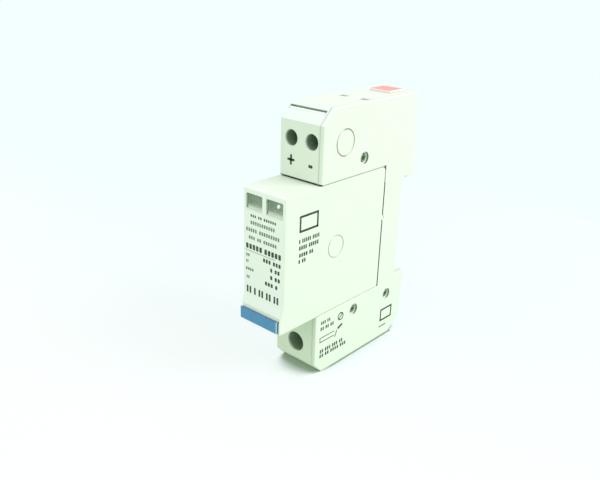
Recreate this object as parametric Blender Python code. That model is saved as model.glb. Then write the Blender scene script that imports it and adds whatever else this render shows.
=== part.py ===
# Pluggable surge arrester for a 35 mm top-hat rail, one module wide.
# The frame is the rail's own: the origin is the middle of the face that seats on the rail,
# X runs along the rail, -Y points out to the front of the arrester and +Z points up.
import math

import bmesh
import bpy
from mathutils import Matrix, Vector

MM = 0.001

# Clearances
GAP = 0.3 * MM                  # between neighbouring pieces that seat on each other
RUNNING_GAP = 0.2 * MM          # round a screw in its thread

# Housing envelope, measured from the rail
MODULE_WIDTH = 17.5 * MM
ABOVE_RAIL = 48.0 * MM
BELOW_RAIL = 42.0 * MM
HEAD_DEPTH = 44.0 * MM
UPPER_CHAMFER = 4.9 * MM
LOWER_CHAMFER = 3.75 * MM
EDGE_ROUNDING = 0.3 * MM
WALL = 1.4 * MM
TRAY_FLOOR = 1.6 * MM
COVER_THICKNESS = 1.3 * MM

# Bay for the plug
BAY_TOP = 25.15 * MM
BAY_BOTTOM = 19.8 * MM
BAY_FLOOR = 10.7 * MM

# Feet and the seat of the rail
RAIL_WIDTH = 35.0 * MM
RAIL_PLAY = 1.0 * MM            # room above and below the rail
RAIL_SHEET = 1.0 * MM
RAIL_SHEET_PLAY = 0.4 * MM
CATCH = 1.5 * MM                # how far hook and jaw reach behind the rail's edges
FOOT_REACH_TOP = 4.6 * MM
FOOT_REACH_UPPER = 7.4 * MM
FOOT_REACH_LOWER = 7.0 * MM
FOOT_REACH_BOTTOM = 5.2 * MM
FOOT_BULGE_HEIGHT = 7.0 * MM    # height over which the lower foot flares to the rail
HEEL_CHAMFER_RUN = 6.6 * MM
HEEL_CHAMFER_RISE = 4.5 * MM
FOOT_CORNER = 0.8 * MM
HOOK_WIDTH = 9.0 * MM
SEAT_RELIEF = 0.4 * MM          # depth of the seat's pockets ahead of hook and jaw

# Terminals: one side by side pair in the upper head, one in the lower head
CAGE_TO_PARTITION = 0.95 * MM
CAGE_TO_WALL = 0.4 * MM
UPPER_SCREW_HEIGHT = 37.65 * MM
LOWER_SCREW_HEIGHT = -32.15 * MM
SCREW_RECESS = 9.6 * MM         # from the front face to the screw chamber
CLAMP_DEPTH = 11.8 * MM         # from the screw chamber's front to the contact bars
COLLAR = 1.2 * MM
POLE = {
    "screw_radius": 1.65 * MM,
    "head_radius": 2.3 * MM,
    "head_height": 2.4 * MM,
    "access_radius": 2.55 * MM,
    "cage_wall": 0.65 * MM,
    "cage_front": 1.3 * MM,
    "cage_rear": 1.0 * MM,
    "cage_height": 7.0 * MM,
    "wire_space": 4.4 * MM,
    "cage_front_space": 4.0 * MM,
    "bar_play": 0.35 * MM,
    "entry_margin": 0.3 * MM,
}
EARTH = {
    "screw_radius": 2.4 * MM,
    "head_radius": 3.1 * MM,
    "head_height": 2.6 * MM,
    "access_radius": 3.5 * MM,
    "cage_wall": 1.0 * MM,
    "cage_front": 1.4 * MM,
    "cage_rear": 1.2 * MM,
    "cage_width": 9.0 * MM,
    "cage_height": 8.0 * MM,
    "wire_space": 5.6 * MM,
    "cage_front_space": 3.6 * MM,
    "bar_play": 0.4 * MM,
    "entry_margin": 0.7 * MM,
}
SCREW_CHAMFER = 0.4 * MM
DRIVE_SLOT_WIDTH = 0.8 * MM
DRIVE_SLOT_DEPTH = 0.35         # share of the head's height
DRIVE_CROSS_DEPTH = 0.55
DRIVE_CROSS_REACH = 0.6         # share of the head's radius
BAR_THICKNESS = 0.8 * MM
BAR_BEND = 0.4 * MM             # inner radius of a bar's bends
BAR_PAST_CAGE = 1.2 * MM
BAR_TO_CAGE = 0.7 * MM
ENTRY_FUNNEL = 0.6 * MM
ENTRY_CORNER = 0.3 * MM
PARTITION_THICKNESS = 1.2 * MM

# Plug-in contacts
BLADE_THICKNESS = 0.8 * MM
BLADE_WIDTH = 5.0 * MM
BLADE_REACH = 6.8 * MM          # past the plug's rear face
BLADE_ROOT = 4.0 * MM           # ahead of the base plate
BLADE_TAPER = 0.9 * MM
POLE_BLADE_MARGIN = 1.1 * MM    # from the plug's end wall
EARTH_BLADE_MARGIN = 1.8 * MM
LEAF_THICKNESS = 0.6 * MM
LEAF_GRIP_GAP = 0.12 * MM
FORK_MOUTH = 1.4 * MM           # from the leaves' tips to where they grip
FORK_FLARE = 0.45 * MM
SLOT_PLAY = 0.4 * MM

# Pins that hold the cover on the tray: (depth from the rail, distance above or below the bay)
UPPER_PINS = ((23.3 * MM, 4.85 * MM), (4.4 * MM, 4.55 * MM))
LOWER_PINS = ((24.0 * MM, 4.35 * MM), (4.4 * MM, 5.15 * MM))
POST_RADIUS = 1.5 * MM
PIN_RADIUS = 1.2 * MM
PIN_BORE_RADIUS = 0.85 * MM
PIN_BORE_DEPTH = 5.0 * MM
PIN_END_ROUNDING = 0.15 * MM
PIN_RECESS_RADIUS = 2.1 * MM
PIN_RECESS_DEPTH = 0.7 * MM
PIN_SHORTFALL = 0.5 * MM        # from the pin's end to the cover's face

# Marks of the mould
RING_WIDTH = 0.3 * MM
RING_DEPTH = 0.2 * MM
HEAD_RING = {"behind_front": 10.55 * MM, "below_top": 11.3 * MM, "radius": 4.4 * MM}
PLUG_RING = {"behind_front": 24.0 * MM, "below_top": 21.75 * MM, "radius": 3.9 * MM}

# Slot for a marker strip, cut square to the upper chamfer
MARKER_SLOT_WIDTH = 1.6 * MM
MARKER_SLOT_DEPTH = 2.2 * MM
MARKER_SLOT_ABOVE = 2.3 * MM    # from its middle line up the chamfer to the end face
MARKER_SLOT_END = 0.6 * MM      # web left at each end

# Rail clip
CLIP_OFFSET = 0.6 * MM
CLIP_WIDTH = 7.9 * MM
CLIP_TONGUE_WIDTH = 5.2 * MM
CLIP_THICKNESS = 2.6 * MM
CLIP_INNER_FACE = 0.5 * MM
CLIP_HEAD_FRONT = -6.0 * MM
CLIP_HEAD_REAR = 0.9 * MM
CLIP_HEAD_HEIGHT = 3.5 * MM
CLIP_PROUD = 0.8 * MM
CLIP_WINDOW_WIDTH = 3.4 * MM
CLIP_WINDOW_BOTTOM = 27.0 * MM
SPRING_STOP_BOTTOM = 38.6 * MM
SPRING_STOP_HEIGHT = 1.5 * MM
SPRING_STOP_WIDTH = 2.8 * MM
CLIP_SPRING = {"radius": 0.95 * MM, "wire": 0.2 * MM, "turns": 9}
CLOSED_TURN = 2.3               # rise of a closed end turn in wire radii
TURN_STEPS = 9

# Plug
PLUG_STAND_OUT = 15.7 * MM
LIP_STAND_OUT = 1.5 * MM
LIP_HEIGHT = 3.9 * MM
RAMP_HEIGHT = 4.2 * MM
PLUG_SIDE_WALL = 1.0 * MM
PLUG_FRONT_WALL = 1.4 * MM
PLUG_END_WALL = 1.2 * MM
PLUG_TOP_GAP = 0.35 * MM
PLUG_FRONT_CORNER = 0.9 * MM
PLUG_REAR_CORNER = 1.5 * MM
PLUG_EDGE_ROUNDING = 0.7 * MM
PLUG_EDGE_SHARE = 0.35          # of that rounding on the edges away from the front
BASE_PLATE_THICKNESS = 1.5 * MM
NUB_HEIGHT = 6.6 * MM
NUB_RADIUS = 0.5 * MM

# Windows and what shows in them
WINDOW_BOTTOM = 17.65 * MM
WINDOW_TOP = 22.8 * MM
WINDOW_INNER = 0.8 * MM
WINDOW_OUTER = 7.7 * MM
WINDOW_CORNER = 0.4 * MM
LENS_FLANGE = 0.7 * MM
LENS_RECESS = 0.6 * MM
FLAG_THICKNESS = 0.8 * MM
FLAG_WIDTH = 6.2 * MM
FLAG_MIDDLE = 4.1 * MM
FLAG_OVERLAP = 0.4 * MM         # of the flag past the window's edges
FLAG_STEM_WIDTH = 1.8 * MM
FLAG_STEM_HEIGHT = 5.2 * MM
FLAG_FOOT_HEIGHT = 1.2 * MM
FLAG_SPRING = {"radius": 0.9 * MM, "wire": 0.2 * MM, "turns": 11}
FLAG_SPRING_LENGTH = 19.0 * MM
BOARD_THICKNESS = 1.0 * MM
BOARD_BOTTOM = -11.0 * MM
LAMP_RADIUS = 0.85 * MM
LAMP_SPOT = (5.9 * MM, 21.2 * MM)

# Colour strip on the plug's lip
STRIP_THICKNESS = 0.6 * MM
STRIP_END = 1.2 * MM            # from the strip's end to the plug's visible side
STRIP_END_GAP = 0.5 * MM

# Protective elements inside the plug
VARISTOR_SIZE = 26.0 * MM
VARISTOR_THICKNESS = 5.5 * MM
VARISTOR_CORNER = 4.0 * MM
VARISTOR_ROUNDING = 0.5 * MM
VARISTOR_MARGIN = 2.1 * MM      # from the plug's upper end wall
COMMON_PLATE_THICKNESS = 0.8 * MM
COMMON_PLATE_MARGIN = 2.0 * MM  # from the varistors' edges
COMMON_TAB_WIDTH = 3.0 * MM
TUBE_RADIUS = 4.0 * MM
TUBE_LENGTH = 6.0 * MM
TUBE_CAP = 1.1 * MM
TUBE_WAIST = 0.4 * MM           # step from a cap down to the ceramic
TUBE_TO_PLATE = 10.6 * MM       # from the tube's rear to the plug's base plate
ARM_THICKNESS = 0.5 * MM
ARM_RUN = 3.2 * MM              # from a blade's root to its varistor
ARM_GRIP = 12.0 * MM            # length of the strip on the varistor's face
ARM_HEIGHT = 3.7 * MM

# Facets round a full circle
ROUND_STEPS = 24
SMALL_ROUND_STEPS = 16
LARGE_ROUND_STEPS = 32
NUB_STEPS = 12


# Places worked out from the sizes above
HALF = MODULE_WIDTH / 2
FRONT = -HEAD_DEPTH
PLUG_FACE = FRONT - PLUG_STAND_OUT
LIP_FACE = PLUG_FACE - LIP_STAND_OUT
PLUG_REAR = -BAY_FLOOR - GAP
PLUG_TOP = BAY_TOP - PLUG_TOP_GAP
PLUG_BOTTOM = -BAY_BOTTOM + GAP
COVER_INNER = HALF - COVER_THICKNESS
TRAY_EDGE = COVER_INNER - GAP
TRAY_INNER = -HALF + TRAY_FLOOR
CHAMBER_FRONT = FRONT + SCREW_RECESS
BAR_FRONT_FACE = CHAMBER_FRONT + CLAMP_DEPTH
RECESS_TOP = RAIL_WIDTH / 2 + RAIL_PLAY
RECESS_BOTTOM = -RECESS_TOP
POLE_INNER = PARTITION_THICKNESS / 2 + CAGE_TO_PARTITION
POLE_OUTER = HALF - TRAY_FLOOR - CAGE_TO_WALL
POLE_X = (POLE_INNER + POLE_OUTER) / 2
POLE["cage_width"] = POLE_OUTER - POLE_INNER
PIN_SPOTS = (
    [(-depth, BAY_TOP + above) for depth, above in UPPER_PINS]
    + [(-depth, -BAY_BOTTOM - below) for depth, below in LOWER_PINS]
)
BAR_REAR_FACE = -WALL - GAP
PLUG_CAVITY_FRONT = PLUG_FACE + PLUG_FRONT_WALL
PLUG_CAVITY_TOP = PLUG_TOP - PLUG_END_WALL
PLUG_CAVITY_BOTTOM = PLUG_BOTTOM + PLUG_END_WALL
PLUG_INNER = HALF - PLUG_SIDE_WALL
PLATE_FRONT = PLUG_REAR - BASE_PLATE_THICKNESS
POLE_BLADE_FRONT = PLATE_FRONT - BLADE_ROOT
POLE_BLADE_HEIGHT = PLUG_CAVITY_TOP - POLE_BLADE_MARGIN - BLADE_WIDTH / 2
EARTH_BLADE_HEIGHT = PLUG_CAVITY_BOTTOM + EARTH_BLADE_MARGIN + BLADE_WIDTH / 2
VARISTOR_REAR = POLE_BLADE_FRONT - GAP - ARM_RUN
VARISTOR_Y = VARISTOR_REAR - VARISTOR_SIZE / 2
VARISTOR_Z = PLUG_CAVITY_TOP - VARISTOR_MARGIN - VARISTOR_SIZE / 2
TUBE_REAR = PLATE_FRONT - TUBE_TO_PLATE
TUBE_Z = PLUG_CAVITY_BOTTOM + GAP + TUBE_RADIUS
LENS_REAR = PLUG_CAVITY_FRONT + GAP + LENS_FLANGE
FLAG_FRONT = LENS_REAR + GAP
FLAG_REAR = FLAG_FRONT + FLAG_THICKNESS
FLAG_TOP = min(WINDOW_TOP + FLAG_OVERLAP, PLUG_CAVITY_TOP - GAP)
FLAG_BOTTOM = WINDOW_BOTTOM - FLAG_OVERLAP
STEM_BOTTOM = FLAG_BOTTOM - FLAG_STEM_HEIGHT
FLAG_SPRING_LINE = FLAG_FRONT + FLAG_SPRING["radius"] + FLAG_SPRING["wire"]
FLAG_SPRING_TOP = STEM_BOTTOM - GAP
FLAG_SPRING_BOTTOM = FLAG_SPRING_TOP - FLAG_SPRING_LENGTH
BOARD_FRONT = FLAG_SPRING_LINE + FLAG_SPRING["radius"] + FLAG_SPRING["wire"] + GAP
CLIP_REAR_FACE = CLIP_INNER_FACE + CLIP_THICKNESS
CLIP_SPRING_LINE = CLIP_INNER_FACE + CLIP_THICKNESS / 2
CLIP_SPRING_TOP = SPRING_STOP_BOTTOM - GAP
CLIP_SPRING_BOTTOM = CLIP_WINDOW_BOTTOM + GAP


def clear_scene():
    for thing in list(bpy.data.objects):
        bpy.data.objects.remove(thing)


def helper_collection():
    # Cutters and other tools of the modelling stay in a collection that isn't rendered.
    helpers = bpy.data.collections.new("modelling_tools")
    helpers.hide_render = True
    bpy.context.scene.collection.children.link(helpers)
    return helpers


def finish(name, colour, roughness, metallic=0.0, alpha=1.0):
    material = bpy.data.materials.new(name)
    material.use_nodes = True
    shader = material.node_tree.nodes["Principled BSDF"]
    shader.inputs["Base Color"].default_value = (*colour, 1.0)
    shader.inputs["Roughness"].default_value = roughness
    shader.inputs["Metallic"].default_value = metallic
    shader.inputs["Alpha"].default_value = alpha
    return material


# Outlines, as lists of (u, v) places in the plane across the extrusion
def rectangle(u_low, u_high, v_low, v_high):
    return [(u_low, v_low), (u_high, v_low), (u_high, v_high), (u_low, v_high)]


def arc(centre_u, centre_v, radius, start, end, steps):
    points = []
    for step in range(steps + 1):
        angle = math.radians(start + (end - start) * step / steps)
        points.append((centre_u + radius * math.cos(angle), centre_v + radius * math.sin(angle)))
    return points


def rounded_rectangle(u_low, u_high, v_low, v_high, radius, steps=4):
    return (
        arc(u_low + radius, v_low + radius, radius, 180, 270, steps)
        + arc(u_high - radius, v_low + radius, radius, 270, 360, steps)
        + arc(u_high - radius, v_high - radius, radius, 0, 90, steps)
        + arc(u_low + radius, v_high - radius, radius, 90, 180, steps)
    )


def place(axis, u, v, along):
    if axis == "X":
        return Vector((along, u, v))
    if axis == "Y":
        return Vector((u, along, v))
    return Vector((u, v, along))


# Meshes
def mesh_from(shape, name):
    bmesh.ops.recalc_face_normals(shape, faces=shape.faces)
    mesh = bpy.data.meshes.new(name)
    shape.to_mesh(mesh)
    shape.free()
    return mesh


def prism(name, outline, axis, low, high):
    # A flat outline extruded along one axis.
    shape = bmesh.new()
    face = shape.faces.new([shape.verts.new(place(axis, u, v, low)) for u, v in outline])
    grown = bmesh.ops.extrude_face_region(shape, geom=[face])
    moved = [item for item in grown["geom"] if isinstance(item, bmesh.types.BMVert)]
    bmesh.ops.translate(shape, verts=moved, vec=place(axis, 0, 0, high - low))
    return mesh_from(shape, name)


def turned(name, profile, axis, u, v, steps=ROUND_STEPS):
    # A profile of (radius, along) places turned about a line along one axis through (u, v).
    shape = bmesh.new()
    points = [shape.verts.new(place(axis, u + radius, v, along)) for radius, along in profile]
    edges = [shape.edges.new(pair) for pair in zip(points, points[1:])]
    bmesh.ops.spin(
        shape, geom=points + edges, cent=place(axis, u, v, 0), axis=place(axis, 0, 0, 1),
        angle=2 * math.pi, steps=steps, use_merge=True,
    )
    bmesh.ops.remove_doubles(shape, verts=shape.verts, dist=1e-6)
    return mesh_from(shape, name)


def rod(name, axis, u, v, radius, low, high, steps=ROUND_STEPS):
    return turned(name, [(0, low), (radius, low), (radius, high), (0, high)], axis, u, v, steps)


class Workshop:
    # Holds the helper collection, and makes, cuts and joins the pieces.
    def __init__(self):
        self.helpers = helper_collection()

    def piece(self, mesh, material):
        made = bpy.data.objects.new(mesh.name, mesh)
        bpy.context.scene.collection.objects.link(made)
        mesh.materials.append(material)
        return made

    def tool(self, mesh):
        made = bpy.data.objects.new(mesh.name, mesh)
        self.helpers.objects.link(made)
        made.hide_render = True
        made.display_type = "WIRE"
        return made

    def combine(self, piece, meshes, operation):
        for mesh in meshes:
            step = piece.modifiers.new(mesh.name, "BOOLEAN")
            step.operation = operation
            step.solver = "EXACT"
            step.object = self.tool(mesh)

    def cut(self, piece, *meshes):
        self.combine(piece, meshes, "DIFFERENCE")

    def join(self, piece, *meshes):
        self.combine(piece, meshes, "UNION")


def round_edges(piece, width, share_of_edge):
    # Rounds the edges that share_of_edge gives a share above nothing.
    mesh = piece.data
    shares = mesh.attributes.new("bevel_weight_edge", "FLOAT", "EDGE")
    for edge in mesh.edges:
        ends = [mesh.vertices[index].co for index in edge.vertices]
        shares.data[edge.index].value = share_of_edge(*ends)
    bevel = piece.modifiers.new("rounded_edges", "BEVEL")
    bevel.limit_method = "WEIGHT"
    bevel.width = width
    bevel.segments = 2


def shade(piece):
    piece.data.shade_smooth()
    piece.data.set_sharp_from_angle(angle=math.radians(30))


def set_origin(piece, spot):
    # The piece's origin goes to the spot, and the piece stays where it is.
    piece.data.transform(Matrix.Translation(-spot))
    piece.location = spot


def carry(pieces, carrier_name, spot):
    # The pieces of one moving body hang from an empty at the spot.
    carrier = bpy.data.objects.new(carrier_name, None)
    carrier.location = spot
    carrier.empty_display_size = HALF
    bpy.context.scene.collection.objects.link(carrier)
    for piece in pieces:
        piece.parent = carrier
        piece.matrix_parent_inverse = Matrix.Translation(-spot)


# Base
def base_outline():
    # Side outline of the base as (y, z), from the front of the lower head round to the bay.
    bulge_low = RECESS_BOTTOM - FOOT_BULGE_HEIGHT
    heel_top = -BELOW_RAIL + HEEL_CHAMFER_RISE
    corner = FOOT_CORNER
    return [
        (FRONT, -BAY_BOTTOM),
        (FRONT, -BELOW_RAIL + LOWER_CHAMFER),
        (FRONT + LOWER_CHAMFER, -BELOW_RAIL),
        (FOOT_REACH_BOTTOM - HEEL_CHAMFER_RUN, -BELOW_RAIL),
        (FOOT_REACH_BOTTOM, heel_top),
        (FOOT_REACH_BOTTOM, bulge_low),
        (FOOT_REACH_LOWER, RECESS_BOTTOM - corner),
        (FOOT_REACH_LOWER - corner, RECESS_BOTTOM),
        (0, RECESS_BOTTOM),
        (0, RECESS_TOP),
        (FOOT_REACH_UPPER - corner, RECESS_TOP),
        (FOOT_REACH_UPPER, RECESS_TOP + corner),
        (FOOT_REACH_TOP, ABOVE_RAIL),
        (FRONT + UPPER_CHAMFER, ABOVE_RAIL),
        (FRONT, ABOVE_RAIL - UPPER_CHAMFER),
        (FRONT, BAY_TOP),
        (-BAY_FLOOR, BAY_TOP),
        (-BAY_FLOOR, -BAY_BOTTOM),
    ]


def cavity_outline():
    # The tray's hollow as (y, z): a chamber in each head and the contact duct behind the bay.
    duct_front = -BAY_FLOOR + WALL
    notch_front = CLIP_HEAD_FRONT - GAP
    notch_floor = ABOVE_RAIL + CLIP_PROUD - CLIP_HEAD_HEIGHT - 2 * GAP
    return [
        (CHAMBER_FRONT, -BELOW_RAIL + WALL),
        (-WALL, -BELOW_RAIL + WALL),
        (-WALL, notch_floor - WALL),
        (notch_front - WALL, notch_floor - WALL),
        (notch_front - WALL, ABOVE_RAIL - WALL),
        (CHAMBER_FRONT, ABOVE_RAIL - WALL),
        (CHAMBER_FRONT, BAY_TOP + WALL),
        (duct_front, BAY_TOP + WALL),
        (duct_front, -BAY_BOTTOM - WALL),
        (CHAMBER_FRONT, -BAY_BOTTOM - WALL),
    ]


def tray_post(name, spot):
    # A cover post: a stout lower part up to the tray's edge and a hollow pin into the cover.
    y, z = spot
    low = TRAY_INNER - WALL / 2
    high = HALF - PIN_SHORTFALL
    corner = PIN_END_ROUNDING
    profile = [(0, low), (POST_RADIUS, low), (POST_RADIUS, TRAY_EDGE), (PIN_RADIUS, TRAY_EDGE)]
    profile += [(PIN_RADIUS, high - corner), (PIN_RADIUS - corner, high), (PIN_BORE_RADIUS, high)]
    profile += [(PIN_BORE_RADIUS, high - PIN_BORE_DEPTH), (0, high - PIN_BORE_DEPTH)]
    return turned(name, profile, "X", y, z, SMALL_ROUND_STEPS)


def screw_passage(name, terminal, x, z):
    # The way for a screwdriver, with a collar at its inner end that keeps the screw's head in.
    access = terminal["access_radius"]
    collar = terminal["head_radius"] - RUNNING_GAP
    collar_front = CHAMBER_FRONT - COLLAR
    profile = [(0, FRONT - WALL), (access, FRONT - WALL), (access, collar_front)]
    profile += [(collar, collar_front), (collar, CHAMBER_FRONT + WALL), (0, CHAMBER_FRONT + WALL)]
    return turned(name, profile, "Y", x, z)


def wire_space(terminal):
    # How far the space for the wire reaches behind the contact bar, as (front, rear).
    front = BAR_FRONT_FACE + BAR_THICKNESS
    return front, front + terminal["wire_space"]


def wire_entry(name, terminal, x, outside, inside):
    # A square hole with a funnel mouth, from inside the chamber out through the end wall.
    front, rear = wire_space(terminal)
    half = terminal["cage_width"] / 2 - terminal["entry_margin"]
    reach = ENTRY_FUNNEL
    run = math.copysign(reach, outside)
    places = ((inside, 0), (outside - run, 0), (outside, reach), (outside + run, reach))
    shape = bmesh.new()
    rims = []
    for along, grow in places:
        side = half + grow
        rim = rounded_rectangle(x - side, x + side, front - grow, rear + grow, ENTRY_CORNER + grow, 2)
        rims.append([shape.verts.new((u, v, along)) for u, v in rim])
    for near, far in zip(rims, rims[1:]):
        for index, corner in enumerate(near):
            following = (index + 1) % len(near)
            shape.faces.new((corner, near[following], far[following], far[index]))
    shape.faces.new(rims[0])
    shape.faces.new(rims[-1])
    return mesh_from(shape, name)


def marker_slot():
    # A slot square to the upper chamfer.
    up_the_chamfer = Vector((0, 1, 1)).normalized()
    inward = Vector((0, 1, -1)).normalized()
    edge = Vector((0, FRONT + UPPER_CHAMFER, ABOVE_RAIL))
    middle = edge - up_the_chamfer * MARKER_SLOT_ABOVE
    half = up_the_chamfer * MARKER_SLOT_WIDTH / 2
    corners = (
        middle - half - inward * WALL,
        middle - half + inward * MARKER_SLOT_DEPTH,
        middle + half + inward * MARKER_SLOT_DEPTH,
        middle + half - inward * WALL,
    )
    outline = [(corner.y, corner.z) for corner in corners]
    return prism("marker_slot", outline, "X", -HALF + MARKER_SLOT_END, TRAY_EDGE - MARKER_SLOT_END)


def blade_slot(name, x, z):
    half_x = BLADE_THICKNESS / 2 + SLOT_PLAY
    half_z = BLADE_WIDTH / 2 + SLOT_PLAY
    outline = rectangle(x - half_x, x + half_x, z - half_z, z + half_z)
    return prism(name, outline, "Y", -BAY_FLOOR - WALL, -BAY_FLOOR + 2 * WALL)


def nub_notch(name, low, high):
    return rod(name, "X", -BAY_FLOOR, NUB_HEIGHT, NUB_RADIUS + GAP, low, high, NUB_STEPS)


def clip_channel():
    # The clip's guide in the upper foot: a wide slot for its flange, a narrow one for its tongue
    # that opens to the rear, and a notch in the end face for its head.
    wide = CLIP_WIDTH / 2 + GAP
    narrow = CLIP_TONGUE_WIDTH / 2 + GAP
    below = RECESS_TOP - WALL
    beyond = ABOVE_RAIL + WALL
    behind = FOOT_REACH_UPPER + WALL
    left = CLIP_OFFSET - wide
    right = CLIP_OFFSET + wide
    flange = rectangle(left, right, CLIP_INNER_FACE - GAP, CLIP_REAR_FACE + GAP)
    tongue = rectangle(CLIP_OFFSET - narrow, CLIP_OFFSET + narrow, CLIP_INNER_FACE, behind)
    head_floor = ABOVE_RAIL + CLIP_PROUD - CLIP_HEAD_HEIGHT - GAP
    head = rectangle(CLIP_HEAD_FRONT - GAP, behind, head_floor, beyond)
    return (
        prism("channel_flange", flange, "Z", below, beyond),
        prism("channel_tongue", tongue, "Z", below, beyond),
        prism("channel_head", head, "X", left, right),
    )


def spring_stop():
    # A block on the rail wall that reaches through the clip's window.
    outline = rectangle(
        -WALL / 2, CLIP_REAR_FACE, SPRING_STOP_BOTTOM, SPRING_STOP_BOTTOM + SPRING_STOP_HEIGHT,
    )
    half = SPRING_STOP_WIDTH / 2
    return prism("spring_stop", outline, "X", CLIP_OFFSET - half, CLIP_OFFSET + half)


def fixed_hook():
    # The hook on the lower foot that the rail's lower edge drops behind.
    front = RAIL_SHEET + RAIL_SHEET_PLAY
    tip = -RAIL_WIDTH / 2 + CATCH
    root = RECESS_BOTTOM - WALL
    outline = [
        (front, root),
        (FOOT_REACH_LOWER - FOOT_CORNER, root),
        (FOOT_REACH_LOWER - FOOT_CORNER, RECESS_BOTTOM),
        (front + CATCH, tip),
        (front, tip),
    ]
    half = HOOK_WIDTH / 2
    return prism("fixed_hook", outline, "X", CLIP_OFFSET - half, CLIP_OFFSET + half)


def seat_pockets():
    # Shallow pockets in the seat ahead of hook and jaw, which let the rail's edges tilt in.
    reach = RAIL_WIDTH / 2 - CATCH - GAP
    half_hook = HOOK_WIDTH / 2 + GAP
    half_jaw = CLIP_WIDTH / 2 + GAP
    lower = rectangle(-SEAT_RELIEF, RAIL_SHEET, RECESS_BOTTOM, -reach)
    upper = rectangle(-SEAT_RELIEF, RAIL_SHEET, reach, RECESS_TOP)
    return (
        prism("hook_pocket", lower, "X", CLIP_OFFSET - half_hook, CLIP_OFFSET + half_hook),
        prism("jaw_pocket", upper, "X", CLIP_OFFSET - half_jaw, CLIP_OFFSET + half_jaw),
    )


def make_tray(shop, plastic):
    tray = shop.piece(prism("base_tray", base_outline(), "X", -HALF, TRAY_EDGE), plastic)
    round_edges(tray, EDGE_ROUNDING, lambda a, b: float(max(a.x, b.x) < TRAY_INNER))
    shop.cut(tray, prism("tray_hollow", cavity_outline(), "X", TRAY_INNER, HALF))
    shop.join(tray, *(tray_post(f"post_{number}", spot) for number, spot in enumerate(PIN_SPOTS)))
    shop.cut(tray, *seat_pockets())
    shop.join(tray, fixed_hook())
    shop.cut(tray, *clip_channel())
    shop.join(tray, spring_stop())
    for side, name in ((-1, "positive"), (1, "negative")):
        shop.cut(
            tray,
            screw_passage(f"passage_{name}", POLE, side * POLE_X, UPPER_SCREW_HEIGHT),
            wire_entry(f"entry_{name}", POLE, side * POLE_X, ABOVE_RAIL, ABOVE_RAIL - 2 * WALL),
            blade_slot(f"slot_{name}", side * POLE_X, POLE_BLADE_HEIGHT),
        )
    shop.cut(
        tray,
        screw_passage("passage_earth", EARTH, 0, LOWER_SCREW_HEIGHT),
        wire_entry("entry_earth", EARTH, 0, -BELOW_RAIL, -BELOW_RAIL + 2 * WALL),
        blade_slot("slot_earth", 0, EARTH_BLADE_HEIGHT),
        marker_slot(),
        nub_notch("tray_notch", -HALF - WALL, HALF),
    )
    return tray


def ring_groove(name, ring, front, top, face):
    y = front + ring["behind_front"]
    z = top - ring["below_top"]
    radius = ring["radius"]
    inner = radius - RING_WIDTH
    low = face - RING_DEPTH
    high = face + RING_DEPTH
    profile = [(inner, low), (radius, low), (radius, high), (inner, high), (inner, low)]
    return turned(name, profile, "X", y, z, LARGE_ROUND_STEPS)


def make_cover(shop, plastic):
    cover = shop.piece(prism("base_cover", base_outline(), "X", COVER_INNER, HALF), plastic)
    middle = (COVER_INNER + HALF) / 2
    round_edges(cover, EDGE_ROUNDING, lambda a, b: float(min(a.x, b.x) > middle))
    recess_floor = HALF - PIN_RECESS_DEPTH
    hole = PIN_RADIUS + GAP
    beyond = HALF + WALL
    below = COVER_INNER - WALL
    for number, (y, z) in enumerate(PIN_SPOTS):
        profile = [(0, below), (hole, below), (hole, recess_floor), (PIN_RECESS_RADIUS, recess_floor)]
        profile += [(PIN_RECESS_RADIUS, beyond), (0, beyond)]
        shop.cut(cover, turned(f"pin_recess_{number}", profile, "X", y, z))
    shop.cut(
        cover,
        ring_groove("head_ring", HEAD_RING, FRONT, ABOVE_RAIL, HALF),
        nub_notch("cover_notch", 0, beyond),
    )
    return cover


def make_partition(shop, plastic):
    # The insulating wall between the two upper terminals.
    rear = CLIP_HEAD_FRONT - GAP - WALL - GAP
    outline = rectangle(CHAMBER_FRONT + GAP, rear, BAY_TOP + WALL + GAP, ABOVE_RAIL - WALL - GAP)
    half = PARTITION_THICKNESS / 2
    partition = shop.piece(prism("terminal_partition", outline, "X", -half, half), plastic)
    y, z = PIN_SPOTS[0]
    room = POST_RADIUS + GAP
    shop.cut(partition, rod("partition_hole", "X", y, z, room, -2 * half, 2 * half, SMALL_ROUND_STEPS))
    return partition


# Terminals
def make_cage(shop, name, terminal, x, z, metal):
    # A folded steel loop, open along Z for the wire, threaded in front for the screw.
    space_front, space_rear = wire_space(terminal)
    half = terminal["cage_width"] / 2
    half_height = terminal["cage_height"] / 2
    inner_front = BAR_FRONT_FACE - terminal["cage_front_space"]
    outer = rounded_rectangle(
        x - half, x + half, inner_front - terminal["cage_front"], space_rear + terminal["cage_rear"],
        terminal["cage_wall"], 3,
    )
    inner_half = half - terminal["cage_wall"]
    inner = rectangle(x - inner_half, x + inner_half, inner_front, space_rear)
    cage = shop.piece(prism(name, outer, "Z", z - half_height, z + half_height), metal)
    tapping = terminal["screw_radius"] + RUNNING_GAP
    tapping_front = inner_front - 2 * terminal["cage_front"]
    shop.cut(
        cage,
        prism(f"{name}_bore", inner, "Z", z - 2 * half_height, z + 2 * half_height),
        rod(f"{name}_tapping", "Y", x, z, tapping, tapping_front, inner_front + GAP),
    )
    set_origin(cage, Vector((x, inner_front, z)))
    return cage


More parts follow.
